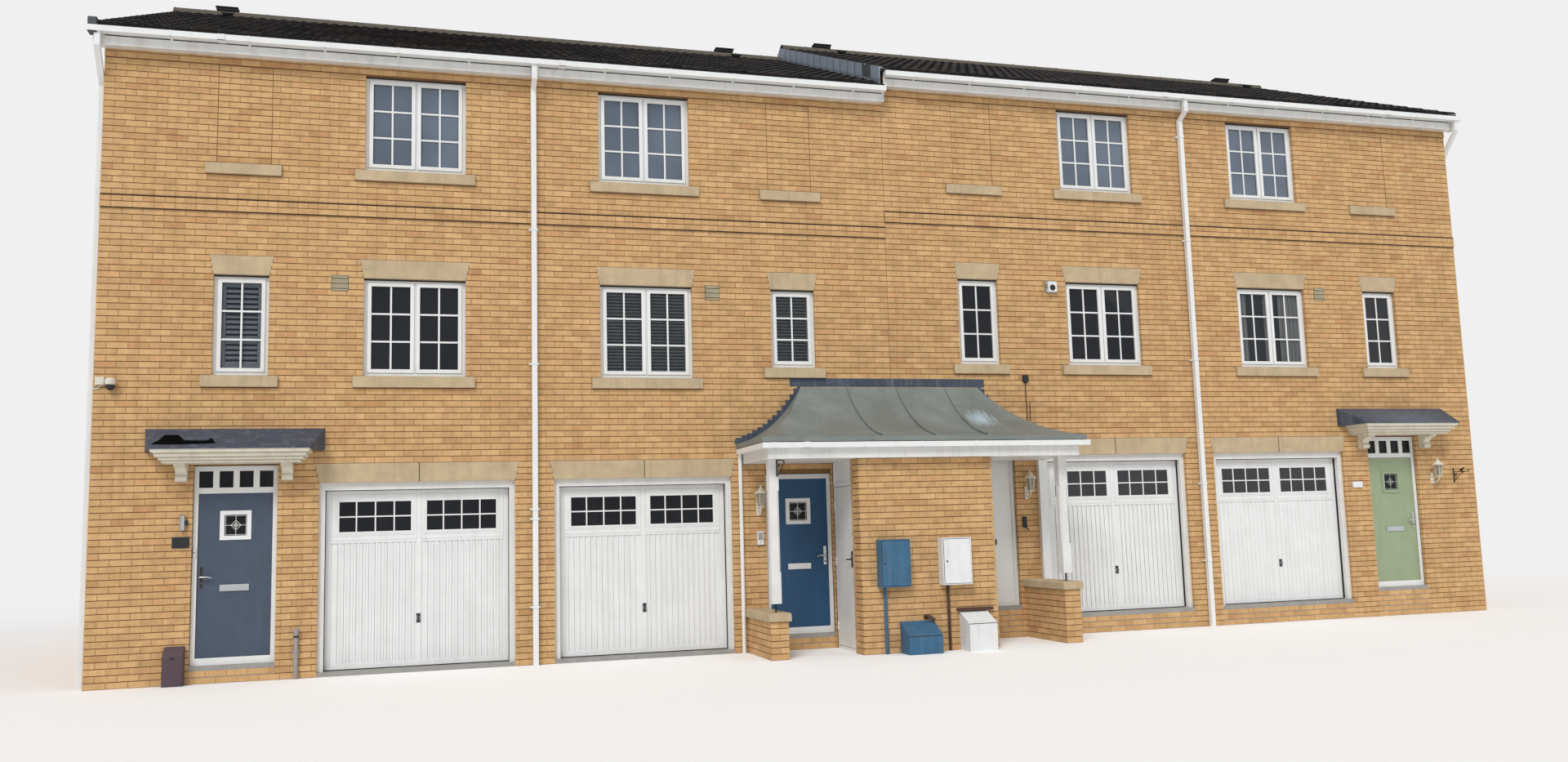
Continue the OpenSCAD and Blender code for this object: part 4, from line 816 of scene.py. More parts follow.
# Bed joints of the brick band and joints of the garage heads, darkened with painted shadow, and mortar at the
# sides of the bricked-up windows
def layBandJoints():
    shape = newShape()
    garageMiddle = opening["garageX"] + opening["garageW"] / 2
    x, wide, sill, head = blindWindow()
    for pair in (-1, 1):
        level = levelOf(pair)
        x0, x1 = sorted((pair * (row["half"] - 0.002), pair * 0.002))
        for plane, out in ((row["front"], -1), (row["rear"], 1)):
            y0, y1 = sorted((plane + out * 0.0145, plane + out * 0.0212))
            for z0, z1 in band["joints"]:
                addBox(shape, (x0, y0, z0 + level), (x1, y1, z1 + level))
    for house in houses:
        addHouseBox(shape, house, (garageMiddle - 0.0045, garageMiddle + 0.0045), (-0.0072, 0.01),
                    (opening["garageHead"], opening["garageHead"] + opening["lintel"]))
        for edge, way in ((x, 1), (x + wide, -1)):
            addHouseBox(shape, house, (edge - 0.001 * way, edge + 0.011 * way), (0.0005, 0.03),
                        (sill + 0.001, head - 0.003), 1)
    makePiece("bandJoints", shape, [mats["jointShadow"], mats["shadedMortar"]])


layFronts()
layBandJoints()
layRear()
layGables()
layPorch()
# Upright joints in the lighter, lit copy of the mortar colour
realPiece("uprightJoints", fills["places"], fills["sizes"], 71, "litMortar")
print("scene: bricks laid")

# Roof tiles with two rolls, laid course on course from the eaves
tile = {
    "across": 12, "roll": 0.016, "rolls": (0.28, 0.78), "rollTight": 9.0,
    "footLift": 0.024, "headLift": 0.003, "thick": 0.019,
    "runs": ((-1, -9.776, -0.125, "LeftTiles"), (1, -0.022, 9.776, "RightTiles")),
}


def tileRoll(u):
    centre = tile["rolls"][0 if u < 0.5 else 1]
    return tile["roll"] * max(0.0, math.cos((u - centre) * tile["rollTight"]))


def tileSeed():
    across = tile["across"]
    wide, long = roof["tileW"] - 0.004, roof["tileL"]
    verts, faces = [], []
    for y, lift in ((0.0, tile["footLift"]), (long, tile["headLift"])):
        shares = [k / across for k in range(across + 1)]
        verts += [(u * wide, y, lift + tileRoll(u)) for u in shares]
        verts += [(u * wide, y, lift - tile["thick"] if y == 0.0 else -0.004) for u in shares]
    n = across + 1
    for k in range(across):
        faces.append((k, k + 1, 2 * n + k + 1, 2 * n + k))
        faces.append((n + k + 1, n + k, 3 * n + k, 3 * n + k + 1))
        faces.append((k + 1, k, n + k, n + k + 1))
        faces.append((2 * n + k, 2 * n + k + 1, 3 * n + k + 1, 3 * n + k))
    faces.append((0, 2 * n, 3 * n, n))
    faces.append((across, n + across, 3 * n + across, 2 * n + across))
    return seedShape("tileSeed", verts, faces)


def laySlope(name, pair, way, x0, x1, seedObject):
    places, sizes, turns = [], [], []
    pitch = math.radians(roof["pitch"])
    count = round((x1 - x0) / roof["tileW"])
    wide = (x1 - x0) / count
    for r in range(roof["rows"]):
        y = roof["eavesY"] - r * roof["eavesY"] / roof["rows"]
        short = min(1.0, (y / math.cos(pitch) - 0.02) / roof["tileL"])  # the last row is cut at the ridge
        for c in range(count):
            jitter = random.Random(r * 97 + c * 7 + pair)
            lift = roofTop(y, levelOf(pair)) + jitter.uniform(0.0, 0.002)
            places.append((x0 + (c if way > 0 else c + 1) * wide, -way * y, lift))
            sizes.append((wide / roof["tileW"], short, 1.0))
            turns.append((pitch + jitter.uniform(-0.004, 0.004), 0.0, 0.0 if way > 0 else math.pi))
    realPiece(name, places, sizes, 61 + pair + way, "tile", turns, seedObject)


def layTiles():
    seedObject = tileSeed()
    for pair, x0, x1, name in tile["runs"]:
        for way, label in ((1, "front"), (-1, "rear")):
            laySlope(label + name, pair, way, x0, x1, seedObject)


ridge = {"long": 0.45, "outer": 0.129, "inner": 0.118, "half": 0.011, "bed": 0.109,
         "runs": ((-9.78, -0.01, -1), (-0.06, 9.78, 1))}


def ridgeJoints():
    shape = newShape()
    arc = [math.radians(a) for a in range(0, 181, 12)]
    for x0, x1, side in ridge["runs"]:
        axis = roofTop(0.0, levelOf(side)) - ridge["bed"] * math.tan(math.radians(roof["pitch"]))
        count = round((x1 - x0) / ridge["long"])
        for k in range(count + 1):
            x = min(max(x0 + (x1 - x0) * k / count, x0 + 0.012), x1 - 0.012)
            rings = []
            for dx in (-ridge["half"], ridge["half"]):
                outer, inner = ([(x + dx, radius * math.cos(a), axis + radius * math.sin(a)) for a in arc]
                                for radius in (ridge["outer"], ridge["inner"]))
                rings.append(outer + inner[::-1])
            addLoft(shape, rings)
    makePiece("ridgeJoints", shape, [mats["ridge"]])


layTiles()
ridgeJoints()
print("scene: roof tiled")


# Windows: glazing bars, clear panes, gaskets, lines of painted shade round the frames and sashes, and what
# hangs behind them
sash = {
    "frame": 0.045, "rail": 0.045, "bar": 0.022,
    "glassY": 0.076, "frameY": (0.0575, 0.0605), "lineY": (0.0588, 0.0604),  # behind the wall face
    # headGap and footGap are strips of painted shadow at the head and the sill; line is the painted shade
    # round each sash
    "headGap": 0.022, "footGap": 0.006, "line": 0.004, "gasket": 0.005,
}
hangings = {"slatStep": 0.042, "shutterSlats": 15, "stile": 0.04, "rail": 0.045, "louvres": 7}


def sashOpenings(x, wide, sill, head):
    edge = sash["frame"] + sash["rail"]
    n = 2 if wide > 1.0 else 1
    part = (wide - 2 * sash["frame"] - (n - 1) * sash["frame"] / 2) / n
    lefts = [x + edge + k * (part + sash["frame"] / 2) for k in range(n)]
    return [(left, left + part - 2 * sash["rail"], sill + edge, head - edge) for left in lefts]


# One slat from end to end, with its section given from its own front corner
def addSlat(shape, house, ends, y, z, section):
    a, b = (spot(house, x, y, z) for x in ends)
    addPrism(shape, [a + Vector((0, dy, dz)) for dy, dz in section], b - a)


def hangSlats(shape, house, x0, x1, z0, z1):
    count = int((z1 - z0) / hangings["slatStep"])
    for k in range(count):
        z = z0 + 0.023 + k * (z1 - z0) / count
        addSlat(shape, house, (x0 + 0.006, x1 - 0.006), sash["glassY"] + 0.022, z,
                ((0, 0), (0.022, -0.019), (0.0226, -0.017), (0.0006, 0.002)))


def hangShutter(shape, house, x0, x1, z0, z1):
    y, count = sash["glassY"] + 0.014, hangings["shutterSlats"]
    for k in range(count):
        z = z0 + 0.05 + k * (z1 - z0 - 0.1) / count
        addSlat(shape, house, (x0 + 0.045, x1 - 0.045), y, z,
                ((0, 0), (0.024, 0.036), (0.030, 0.033), (0.006, -0.003)))
    addRim(shape, house, (x0, x1, z0, z1), (y, y + 0.026), (0, hangings["stile"], hangings["rail"]))


# Upright louvres, drawn aside on some windows
def hangLouvres(shape, house, x0, x1, z0, z1, kind, number):
    for k in range(hangings["louvres"]):
        share = (k + 0.5) / hangings["louvres"]
        if kind == "halfLouvre" and number == 0:
            continue
        if kind == "sideLouvre" and not (share < 0.25) == (number == 0):
            continue
        x = x0 + (x1 - x0) * share
        a = spot(house, x - 0.034, sash["glassY"] + 0.018, z0 + 0.01)
        b = spot(house, x + 0.030, sash["glassY"] + 0.026, z0 + 0.01)
        thick = Vector((0, 0.002, 0))
        addPrism(shape, [a, b, b + thick, a + thick], (0, 0, z1 - z0 - 0.02))


def fitSash(shapes, house, x0, x1, z0, z1, pane, rear):
    y, half, rail = sash["glassY"], sash["bar"] / 2, sash["rail"]
    middle = (x0 + x1) / 2
    # Grey outline round each sash: painted shade along its edges
    addRim(shapes["gaps"], house, (x0 - rail, x1 + rail, z0 - rail, z1 + rail), sash["lineY"],
           (sash["line"], 0), 1, rear)
    addHouseBox(shapes["bars"], house, (middle - half, middle + half), (y - 0.012, y - 0.001),
                (z0, z1), 0, rear)
    for k in (1, 2):
        z = z0 + (z1 - z0) * k / 3
        addHouseBox(shapes["bars"], house, (x0, x1), (y - 0.0115, y - 0.0012), (z - half, z + half), 0, rear)
    addHouseBox(shapes["panes"], house, (x0 - 0.001, x1 + 0.001), (y, y + 0.004),
                (z0 - 0.001, z1 + 0.001), pane, rear)
    addRim(shapes["seals"], house, (x0, x1, z0, z1), (y - 0.004, y - 0.0002),
           (0, sash["gasket"], sash["gasket"], sash["gasket"]), 0, rear)


def fitWindows():
    shapes = {name: newShape() for name in ("bars", "panes", "seals", "gaps", "slats", "shutters", "louvres")}
    for rear in (False, True):
        for house in houses:
            for index, (x, wide, sill, head) in enumerate(windowsOf(house, rear)):
                # Dark strips of painted shadow under each window's head and over its sill
                for z0, z1 in ((head - sash["headGap"], head), (sill, sill + sash["footGap"])):
                    addHouseBox(shapes["gaps"], house, (x, x + wide), sash["frameY"], (z0, z1), 0, rear)
                kind = "" if rear else house["blinds"][index]
                # The top-floor front window takes the glass with the painted sky reflection
                pane = 0 if rear else 2 if index == 2 else 1 if kind else 0
                for number, light in enumerate(sashOpenings(x, wide, sill, head)):
                    fitSash(shapes, house, *light, pane, rear)
                    if kind == "slat":
                        hangSlats(shapes["slats"], house, *light)
                    if kind == "shutter":
                        hangShutter(shapes["shutters"], house, *light)
                    if kind.lower().endswith("louvre"):
                        hangLouvres(shapes["louvres"], house, *light, kind, number)
    makePiece("glazingBars", shapes["bars"], [mats["upvc"]], bevel=0.0015)
    makePiece("windowPanes", shapes["panes"], [mats["glass"], mats["clearGlass"], mats["skyReflectionGlass"]])
    makePiece("glassSeals", shapes["seals"], [mats["rubberAndShade"]])
    makePiece("frameGaps", shapes["gaps"], [mats["shadowGap"], mats["lineShade"]])
    makePiece("slatBlinds", shapes["slats"], [mats["blind"]])
    makePiece("shutters", shapes["shutters"], [mats["whiteBlind"]])
    makePiece("uprightLouvres", shapes["louvres"], [mats["curtain"]])


fitWindows()
print("scene: windows fitted")


# Front doors: small leaded window, letter plate, lever
doorLooks = {
    "endLeft": {"rim": "upvc", "plate": "chrome", "back": "blackPlastic"},
    "midLeft": {"rim": "upvc", "plate": "upvc", "back": "upvc"},
    "midRight": {"rim": "upvc", "plate": "blackPlastic", "back": "chrome"},
    "endRight": {"rim": "sageDoor", "plate": "chrome", "back": "chrome"},
}
leaf = {
    "x": 3.002, "wide": 0.816, "y": 0.08, "light": 0.335, "rim": 0.046, "lightZ": 1.78,
    "diamonds": (0.45, 0.2), "border": 0.9,  # lead lines as shares of the light's half
    "letterZ": 1.065, "letterHalf": 0.155, "leverZ": 1.195, "leverIn": 0.055,
}
leverPath = [(0.040, 0.0, 0.010), (0.060, 0.0, 0.0106), (0.110, 0.001, 0.0105), (0.150, -0.003, 0.010),
             (0.172, -0.010, 0.009)]  # distance from the leaf's edge, rise, radius


# Lead lines of a door light: a cross, two diamonds and a border
def leadLines():
    lines = [(0, -1, 0, 1), (-1, 0, 1, 0)]
    for r in leaf["diamonds"]:
        corners = [(-r, 0), (0, r), (r, 0), (0, -r)]
        lines += [(*corners[k], *corners[(k + 1) % 4]) for k in range(4)]
    for r in (-leaf["border"], leaf["border"]):
        lines += [(r, -1, r, 1), (-1, r, 1, r)]
    return lines


def fitDoor(house):
    shape = newShape()
    finish = doorLooks[house["name"]]
    centre, edge = leaf["x"] + leaf["wide"] / 2, leaf["x"] + leaf["wide"]
    y, z, half = leaf["y"], leaf["lightZ"], leaf["light"] / 2
    inner = half - leaf["rim"]
    addRim(shape, house, (centre - half, centre + half, z - half, z + half), (y - 0.0118, y + 0.002),
           (0.001, leaf["rim"] + 0.001, leaf["rim"] + 0.001, 0.002), 0)
    addHouseBox(shape, house, (centre - inner, centre + inner), (y + 0.012, y + 0.0175),
                (z - inner, z + inner), 1)
    for dx0, dz0, dx1, dz1 in leadLines():
        ends = [spot(house, centre + dx * inner, y + 0.010, z + dz * inner)
                for dx, dz in ((dx0, dz0), (dx1, dz1))]
        addTube(shape, ends, 0.0035, 6, 6)
    wide, letterZ = leaf["letterHalf"], leaf["letterZ"]
    addHouseBox(shape, house, (centre - wide - 0.001, centre + wide + 0.001), (y - 0.0135, y - 0.010),
                (letterZ - 0.037, letterZ + 0.037), 3)
    addHouseBox(shape, house, (centre - wide + 0.018, centre + wide - 0.018), (y - 0.0165, y - 0.0130),
                (letterZ - 0.020, letterZ + 0.022), 3)
    x, z = edge - leaf["leverIn"], leaf["leverZ"]
    addHouseBox(shape, house, (x - 0.018, x + 0.018), (y - 0.0105, y - 0.006), (z - 0.121, z + 0.121), 5)
    addTube(shape, [spot(house, x, y - 0.008, z), spot(house, x, y - 0.049, z)], 0.0105, 4, 14)
    addTube(shape, [spot(house, edge - dx, y - 0.048, z + dz) for dx, dz, radius in leverPath],
            [radius for dx, dz, radius in leverPath], 4, 14)
    addLathe(shape, spot(house, x, y - 0.010, z - 0.075), (0, -1, 0),
             [(0, 0.012), (0.004, 0.012), (0.005, 0.009)], 1)
    looksUsed = [finish["rim"], "darkPane", "lead", finish["plate"], "chrome", finish["back"], "frosted"]
    makePiece(house["name"] + "DoorTrim", shape, [mats[look] for look in looksUsed],
              body=house["node"] + "_door", bevel=0.0008)


transom = {"foot": 2.216, "tall": 0.192, "edge": 0.055, "post": 0.066, "panes": 4, "gasket": 0.006}


def fitTransoms():
    shape = newShape()
    t = transom
    wide = (opening["doorW"] - 2 * t["edge"] - (t["panes"] - 1) * t["post"]) / t["panes"]
    z0, z1 = t["foot"], t["foot"] + t["tall"]
    for house in [h for h in houses if h["end"]]:
        for k in range(t["panes"]):
            x = opening["doorX"] + t["edge"] + k * (wide + t["post"])
            addHouseBox(shape, house, (x + 0.001, x + wide - 0.001), (0.085, 0.09), (z0, z1), 0)
            addRim(shape, house, (x, x + wide, z0, z1), (0.078, 0.085),
                   (0, t["gasket"], t["gasket"], t["gasket"]), 1)
    makePiece("transomPanes", shape, [mats["darkPane"], mats["rubberAndShade"]])


# Dark lines of painted shade where the door frames meet the brick
def fitDoorLines():
    shape = newShape()
    x0, x1, foot = opening["doorX"], opening["doorX"] + opening["doorW"], opening["doorFoot"]
    for house in houses:
        top = doorHead(house)
        for a, b, c in ((x0, x0 + 0.006, foot), (x1 - 0.006, x1, foot), (x0, x1, top - 0.009)):
            addHouseBox(shape, house, (a, b), sash["frameY"], (c, top))
    makePiece("doorLines", shape, [mats["shadowGap"]])


# Shadow lines under the steps of the end doors' cornices
cornice = {"foot": 2.485, "tall": 0.150, "half": 0.728, "out": 0.370,
           "steps": ((0.0, 0.17), (0.034, 0.40), (0.070, 0.70))}  # reach and share of the height


def fitCorniceLines():
    shape = newShape()
    centre = opening["doorX"] + opening["doorW"] / 2
    for house in [h for h in houses if h["end"]]:
        for out, share in cornice["steps"]:
            z = cornice["foot"] + share * cornice["tall"]
            x, y = cornice["half"] + out, cornice["out"] + out
            for a, b, c, d in ((-x, x, -y - 0.0014, -y + 0.002), (-x - 0.0014, -x + 0.002, -y, 0.0),
                               (x - 0.002, x + 0.0014, -y, 0.0)):
                addHouseBox(shape, house, (centre + a, centre + b), (c, d), (z - 0.006, z + 0.0005))
    makePiece("corniceLines", shape, [mats["buffPlastic"]])


# Dark sleeves round the pins that carry the porch posts
def fitPostPins():
    shape = newShape()
    for side in (-1, 1):
        foot = (side * (row["dwarfIn"] + row["dwarfOut"]) / 2, row["front"] - row["postOut"],
                row["postFoot"] + levelOf(side))
        addLathe(shape, foot, (0, 0, 1), [(0, 0.016), (0.006, 0.0105), (0.1045, 0.0105)])
    makePiece("postPins", shape, [mats["blackIron"]])


# Black levers and plates laid over the store doors' own
storeLever = {"out": 0.703, "z": 1.15, "rightRise": 0.12, "radius": 0.0088, "plate": (0.018, 0.101)}


def fitStoreLevers():
    radius, (halfWide, halfTall) = storeLever["radius"], storeLever["plate"]
    for side, name in ((-1, "left"), (1, "right")):
        shape = newShape()
        x, y = side * row["storeHalf"], row["front"] - storeLever["out"]
        z = storeLever["z"] + (storeLever["rightRise"] if side > 0 else 0.0)
        x0, x1 = sorted((x, x + side * radius))
        addBox(shape, (x0, y - halfWide, z - halfTall), (x1, y + halfWide, z + halfTall))
        addTube(shape, [(x + side * 0.006, y, z), (x + side * 0.046, y, z)], radius, 0, 14)
        addTube(shape, [(x + side * 0.045, y - radius, z), (x + side * 0.045, y + 0.1028, z)], radius, 0, 14)
        addLathe(shape, (x + side * 0.0085, y, z - 0.065), (side, 0, 0),
                 [(0, 0.010), (0.003, 0.010), (0.004, 0.007)])
        makePiece(name + "StoreLever", shape, [mats["blackIron"]], body=name + "_store_door", bevel=0.0006)


for house in houses:
    fitDoor(house)
fitTransoms()
fitDoorLines()
fitCorniceLines()
fitPostPins()
fitStoreLevers()

# Garage doors: glazed lights, pressed ribs drawn with lines of painted shade, and locks
garage = {
    "x": 0.311, "wide": 2.118, "y": 0.145,
    "margin": 0.126, "gap": 0.141, "foot": 1.644, "top": 2.044,  # the lights
    "rim": 0.022, "bar": 0.008, "bars": 3,
    "rib": 0.070, "edge": 0.060, "middle": 0.030, "panelDrop": 0.110,
    "lockZ": 0.62, "shadeOut": 0.0008, "shadeY": (0.112, 0.139), "jamb": 0.07, "rail": 0.09,
}


def fitGarageLight(shape, house, left, right):
    g, y, rim, bar = garage, garage["y"], garage["rim"], garage["bar"]
    addHouseBox(shape, house, (left + 0.001, right - 0.001), (y + 0.0055, y + 0.0125),
                (g["foot"] + 0.001, g["top"] - 0.001), 1)
    addRim(shape, house, (left, right, g["foot"], g["top"]), (y - 0.005, y + 0.006), (0.004, rim), 0)
    for k in range(1, g["bars"] + 1):
        x = left + (right - left) * k / (g["bars"] + 1)
        addHouseBox(shape, house, (x - bar, x + bar), (y - 0.003, y + 0.006),
                    (g["foot"] + rim, g["top"] - rim), 0)
    z = (g["foot"] + g["top"]) / 2
    addHouseBox(shape, house, (left + rim, right - rim), (y - 0.0028, y + 0.006), (z - bar, z + bar), 0)


# Pressed lines of one half of the leaf, drawn as grey strips of painted shade: ribs, and outlines round the
# light
def fitGarageLines(shape, house, a, b):
    g, y = garage, garage["y"]
    panelTop = g["foot"] - g["panelDrop"]
    for k in range(int((b - a) / g["rib"])):
        x = a + (k + 0.7) * g["rib"]
        addHouseBox(shape, house, (x + 0.0005, x + 0.0045), (y + 0.0112, y + 0.0125),
                    (0.13, panelTop - 0.002), 3)
    line = (y - 0.0008, y + 0.0006)
    for x0, x1, z0, z1 in outlineStrips(a, b, panelTop + 0.030, g["top"] + 0.062, 0.004):
        addHouseBox(shape, house, (x0, x1), line, (z0, z1), 3)
    addHouseBox(shape, house, (a + 0.02, b - 0.02), line, (g["foot"] - 0.028, g["foot"] - 0.024), 3)


def fitGarage(house):
    shape = newShape()
    g, y, z = garage, garage["y"], garage["lockZ"]
    centre, end = g["x"] + g["wide"] / 2, g["x"] + g["wide"]
    wide = (g["wide"] - 2 * g["margin"] - g["gap"]) / 2
    run = g["wide"] / 2 - g["edge"] - g["middle"]
    for left in (g["x"] + g["margin"], end - g["margin"] - wide):
        fitGarageLight(shape, house, left, left + wide)
    for left in (g["x"] + g["edge"], centre + g["middle"]):
        fitGarageLines(shape, house, left, left + run)
    addHouseBox(shape, house, (centre - 0.024, centre + 0.024), (y - 0.004, y + 0.001),
                (z - 0.055, z + 0.055), 2)
    addLathe(shape, spot(house, centre, y, z), (0, -1, 0), [(0, 0.021), (0.022, 0.021), (0.0245, 0.018)], 2)
    addHouseBox(shape, house, (centre - 0.009, centre + 0.009), (y - 0.024, y - 0.012),
                (z - 0.037, z + 0.037), 2)
    finish = [mats[look] for look in ("garageWhite", house["lights"], "blackPlastic", "lineShade")]
    makePiece(house["name"] + "GarageTrim", shape, finish, body=house["node"] + "_garage_door", bevel=0.001)


# Dark strips on the inner faces of the garage frames: painted shade of the gap round the leaf
def fitGarageGapShade():
    shape = newShape()
    x0, x1 = opening["garageX"] + garage["jamb"], opening["garageX"] + opening["garageW"] - garage["jamb"]
    foot, top, out = 0.06, opening["garageHead"] - garage["rail"], garage["shadeOut"]
    for house in houses:
        for a, b, c, d in ((x0 - 0.0004, x0 + out, foot, top), (x1 - out, x1 + 0.0004, foot, top),
                           (x0, x1, top - out, top + 0.0004)):
            addHouseBox(shape, house, (a, b), garage["shadeY"], (c, d))
    makePiece("garageSeals", shape, [mats["rubberAndShade"]])


for house in houses:
    fitGarage(house)
print("scene: doors fitted")


# Wall fixtures: lanterns, lamps, plates and boxes on the street face
wallFace = row["front"] - 0.0052  # just in front of the bricks
lantern = {
    "places": [(-1.900, 1.820), (1.945, 1.956), (8.865, 2.045)],
    "plate": 0.055, "plateTall": 0.17, "reach": 0.135,
    "cage": 0.052, "cageTop": 0.072, "cageTall": 0.165, "roof": 0.092,
}


def fitLantern(shape, x, z):
    f = lantern
    addLathe(shape, (x, wallFace, z - 0.02), (0, -1, 0),
             [(0, 0.034), (0.008, 0.034), (0.013, 0.024), (0.02, 0.02)])
    addBox(shape, (x - f["plate"] / 2, wallFace - 0.010, z - f["plateTall"] / 2),
           (x + f["plate"] / 2, wallFace, z + f["plateTall"] / 2))
    arm = [(x, wallFace - 0.008, z - 0.035), (x, wallFace - 0.05, z - 0.062), (x, wallFace - 0.10, z - 0.055),
           (x, wallFace - f["reach"], z - 0.020), (x, wallFace - f["reach"], z + 0.012)]
    addTube(shape, arm, [0.010, 0.009, 0.009, 0.010, 0.012], 0, 10)
    curl = [(x, wallFace - 0.010, z + 0.045), (x, wallFace - 0.045, z + 0.050),
            (x, wallFace - 0.062, z + 0.020), (x, wallFace - 0.045, z - 0.005),
            (x, wallFace - 0.030, z + 0.012)]
    addTube(shape, curl, 0.005, 0, 8)
    low = z + 0.010
    axis = wallFace - f["reach"]
    centre = Vector((x, axis, low))
    addLathe(shape, centre, (0, 0, 1), [(0, 0.014), (0.006, 0.036), (0.016, 0.044), (0.022, 0.044)], 0, 6)
    top = low + 0.022 + f["cageTall"]
    for k in range(6):
        a = math.radians(60 * k)
        foot = Vector((math.cos(a) * f["cage"] * 0.82, math.sin(a) * f["cage"] * 0.82, low + 0.018))
        head = Vector((math.cos(a) * f["cageTop"] * 0.92, math.sin(a) * f["cageTop"] * 0.92, top))
        shift = Vector((x, axis, 0))
        addTube(shape, [foot + shift, head + shift], 0.0042, 0, 6)
    addLathe(shape, centre + Vector((0, 0, 0.020)), (0, 0, 1),
             [(0, f["cage"] * 0.78), (f["cageTall"], f["cageTop"] * 0.88)], 1, 6)
    addLathe(shape, (x, axis, top - 0.004), (0, 0, 1),
             [(0, f["roof"] * 0.80), (0.006, f["roof"]), (0.014, f["roof"] * 0.93), (0.045, f["roof"] * 0.42),
              (0.066, f["roof"] * 0.26), (0.074, f["roof"] * 0.30), (0.080, f["roof"] * 0.12),
              (0.092, 0.013), (0.102, 0.007), (0.122, 0.002)], 0, 12)


def fitLanterns():
    shape = newShape()
    for x, z in lantern["places"]:
        fitLantern(shape, x, z)
    makePiece("lanterns", shape, [mats["cream"], mats["lampGlass"]])


# Flat things on the wall: left and right edge, foot and head, how far they stand out, look
plateLooks = ["blackPlastic", "whitePlastic", "chrome", "greyPlastic", "purplePlastic", "rubberAndShade",
              "buffPlastic"]
plates = [
    (-8.817, -8.637, 1.534, 1.657, 0.012, 0),  # plate left of the first door, and its rim
    (-8.822, -8.632, 1.529, 1.662, 0.005, 3),
    (7.375, 7.560, 1.925, 2.018, 0.014, 1),  # plate left of the last door
    (-8.730, -8.690, 1.735, 1.895, 0.012, 2),  # back of the upright chrome tube
    (-8.680, -8.655, 1.790, 1.845, 0.040, 0),
    (-1.932, -1.848, 1.358, 1.534, 0.034, 1),  # white box below the left lantern, and its cover
    (-1.918, -1.862, 1.420, 1.515, 0.038, 3),
    (1.866, 1.922, 1.478, 1.626, 0.026, 0),  # plate of the bell push
    (1.972, 2.052, 3.500, 3.592, 0.034, 0),  # small box over the porch, where the long wire starts
    (1.990, 2.034, 3.486, 3.500, 0.018, 0),
    (2.417, 2.557, 4.785, 4.935, 0.064, 1),  # box with a round dark mouth, and its rim
    (2.405, 2.569, 4.773, 4.947, 0.012, 3),
]
# Round things on the wall: x, height, distance from the wall, outline, look
knobs = [
    (-1.890, 1.388, 0.036, [(0, 0.008), (0.003, 0.008), (0.004, 0.006)], 3),
    (1.894, 1.510, 0.026, [(0, 0.016), (0.003, 0.016), (0.004, 0.012)], 5),
    (2.487, 4.845, 0.063, [(0, 0.044), (0.003, 0.044), (0.004, 0.038)], 0),
]
vent = {"x": (2.2015, 2.3985), "z": (4.5515, 4.7485), "inset": 0.007, "lines": (4.588, 4.650, 4.711)}


def addPlate(shape, x0, x1, z0, z1, deep, slot=0, y=wallFace):
    addBox(shape, (x0, y - deep, z0), (x1, y, z1), slot)


def fitPlates():
    shape = newShape()
    for plate in plates:
        addPlate(shape, *plate)
    for x, z, out, outline, slot in knobs:
        addLathe(shape, (x, wallFace - out, z), (0, -1, 0), outline, slot)
    addLathe(shape, (-8.710, wallFace - 0.040, 1.727), (0, 0, 1),
             [(0, 0.027), (0.003, 0.031), (0.177, 0.031), (0.18, 0.027)], 2)  # upright chrome tube
    frameFace = row["front"] + opening["recess"]  # the small bell is on the first door's frame
    addPlate(shape, -8.603, -8.572, 1.420, 1.530, 0.016, 1, frameFace)
    addLathe(shape, (-8.5875, frameFace - 0.015, 1.475), (0, -1, 0),
             [(0, 0.009), (0.004, 0.009), (0.005, 0.007)], 3)
    # Three of the air vents get a dark square and dark lines: painted shade round their edge and in their
    # louvre slots
    x0, x1 = vent["x"]
    for house in houses:
        if house["name"] == "midRight":
            continue
        addHouseBox(shape, house, (x0, x1), (-0.0065, 0.0), vent["z"], 5)
        for z in vent["lines"]:
            addHouseBox(shape, house, (x0 + vent["inset"], x1 - vent["inset"]), (-0.0098, 0.0),
                        (z - 0.006, z + 0.001), 5)
    makePiece("wallPlates", shape, [mats[look] for look in plateLooks], bevel=0.003)


# Wires fixed to the wall: radius, steps between points, and points as (x, distance further out, z)
wires = [
    (0.0055, 5, [(2.012, 0, 3.492), (2.010, 0, 3.30), (2.018, 0, 3.12), (2.016, 0, 2.985),
                 (2.020, 0.01, 2.955)]),
    (0.005, 5, [(2.064, 0, 3.215), (2.066, 0, 3.10), (2.058, 0, 2.990), (2.062, 0.01, 2.950)]),
    (0.007, 8, [(1.905, 0, 1.486), (1.930, 0.010, 1.462), (1.955, 0.006, 1.440)]),
]
cameraWire = (0.006, 5, [(-9.682, 0, 3.357), (-9.640, 0.003, 3.360), (-9.605, 0.017, 3.385),
                         (-9.598, 0.021, 3.402)])


def addWire(shape, wire, slot):
    radius, steps, points = wire
    path = smoothPath([(x, wallFace - 0.007 - out, z) for x, out, z in points], steps)
    addTube(shape, path, radius, slot, 8)


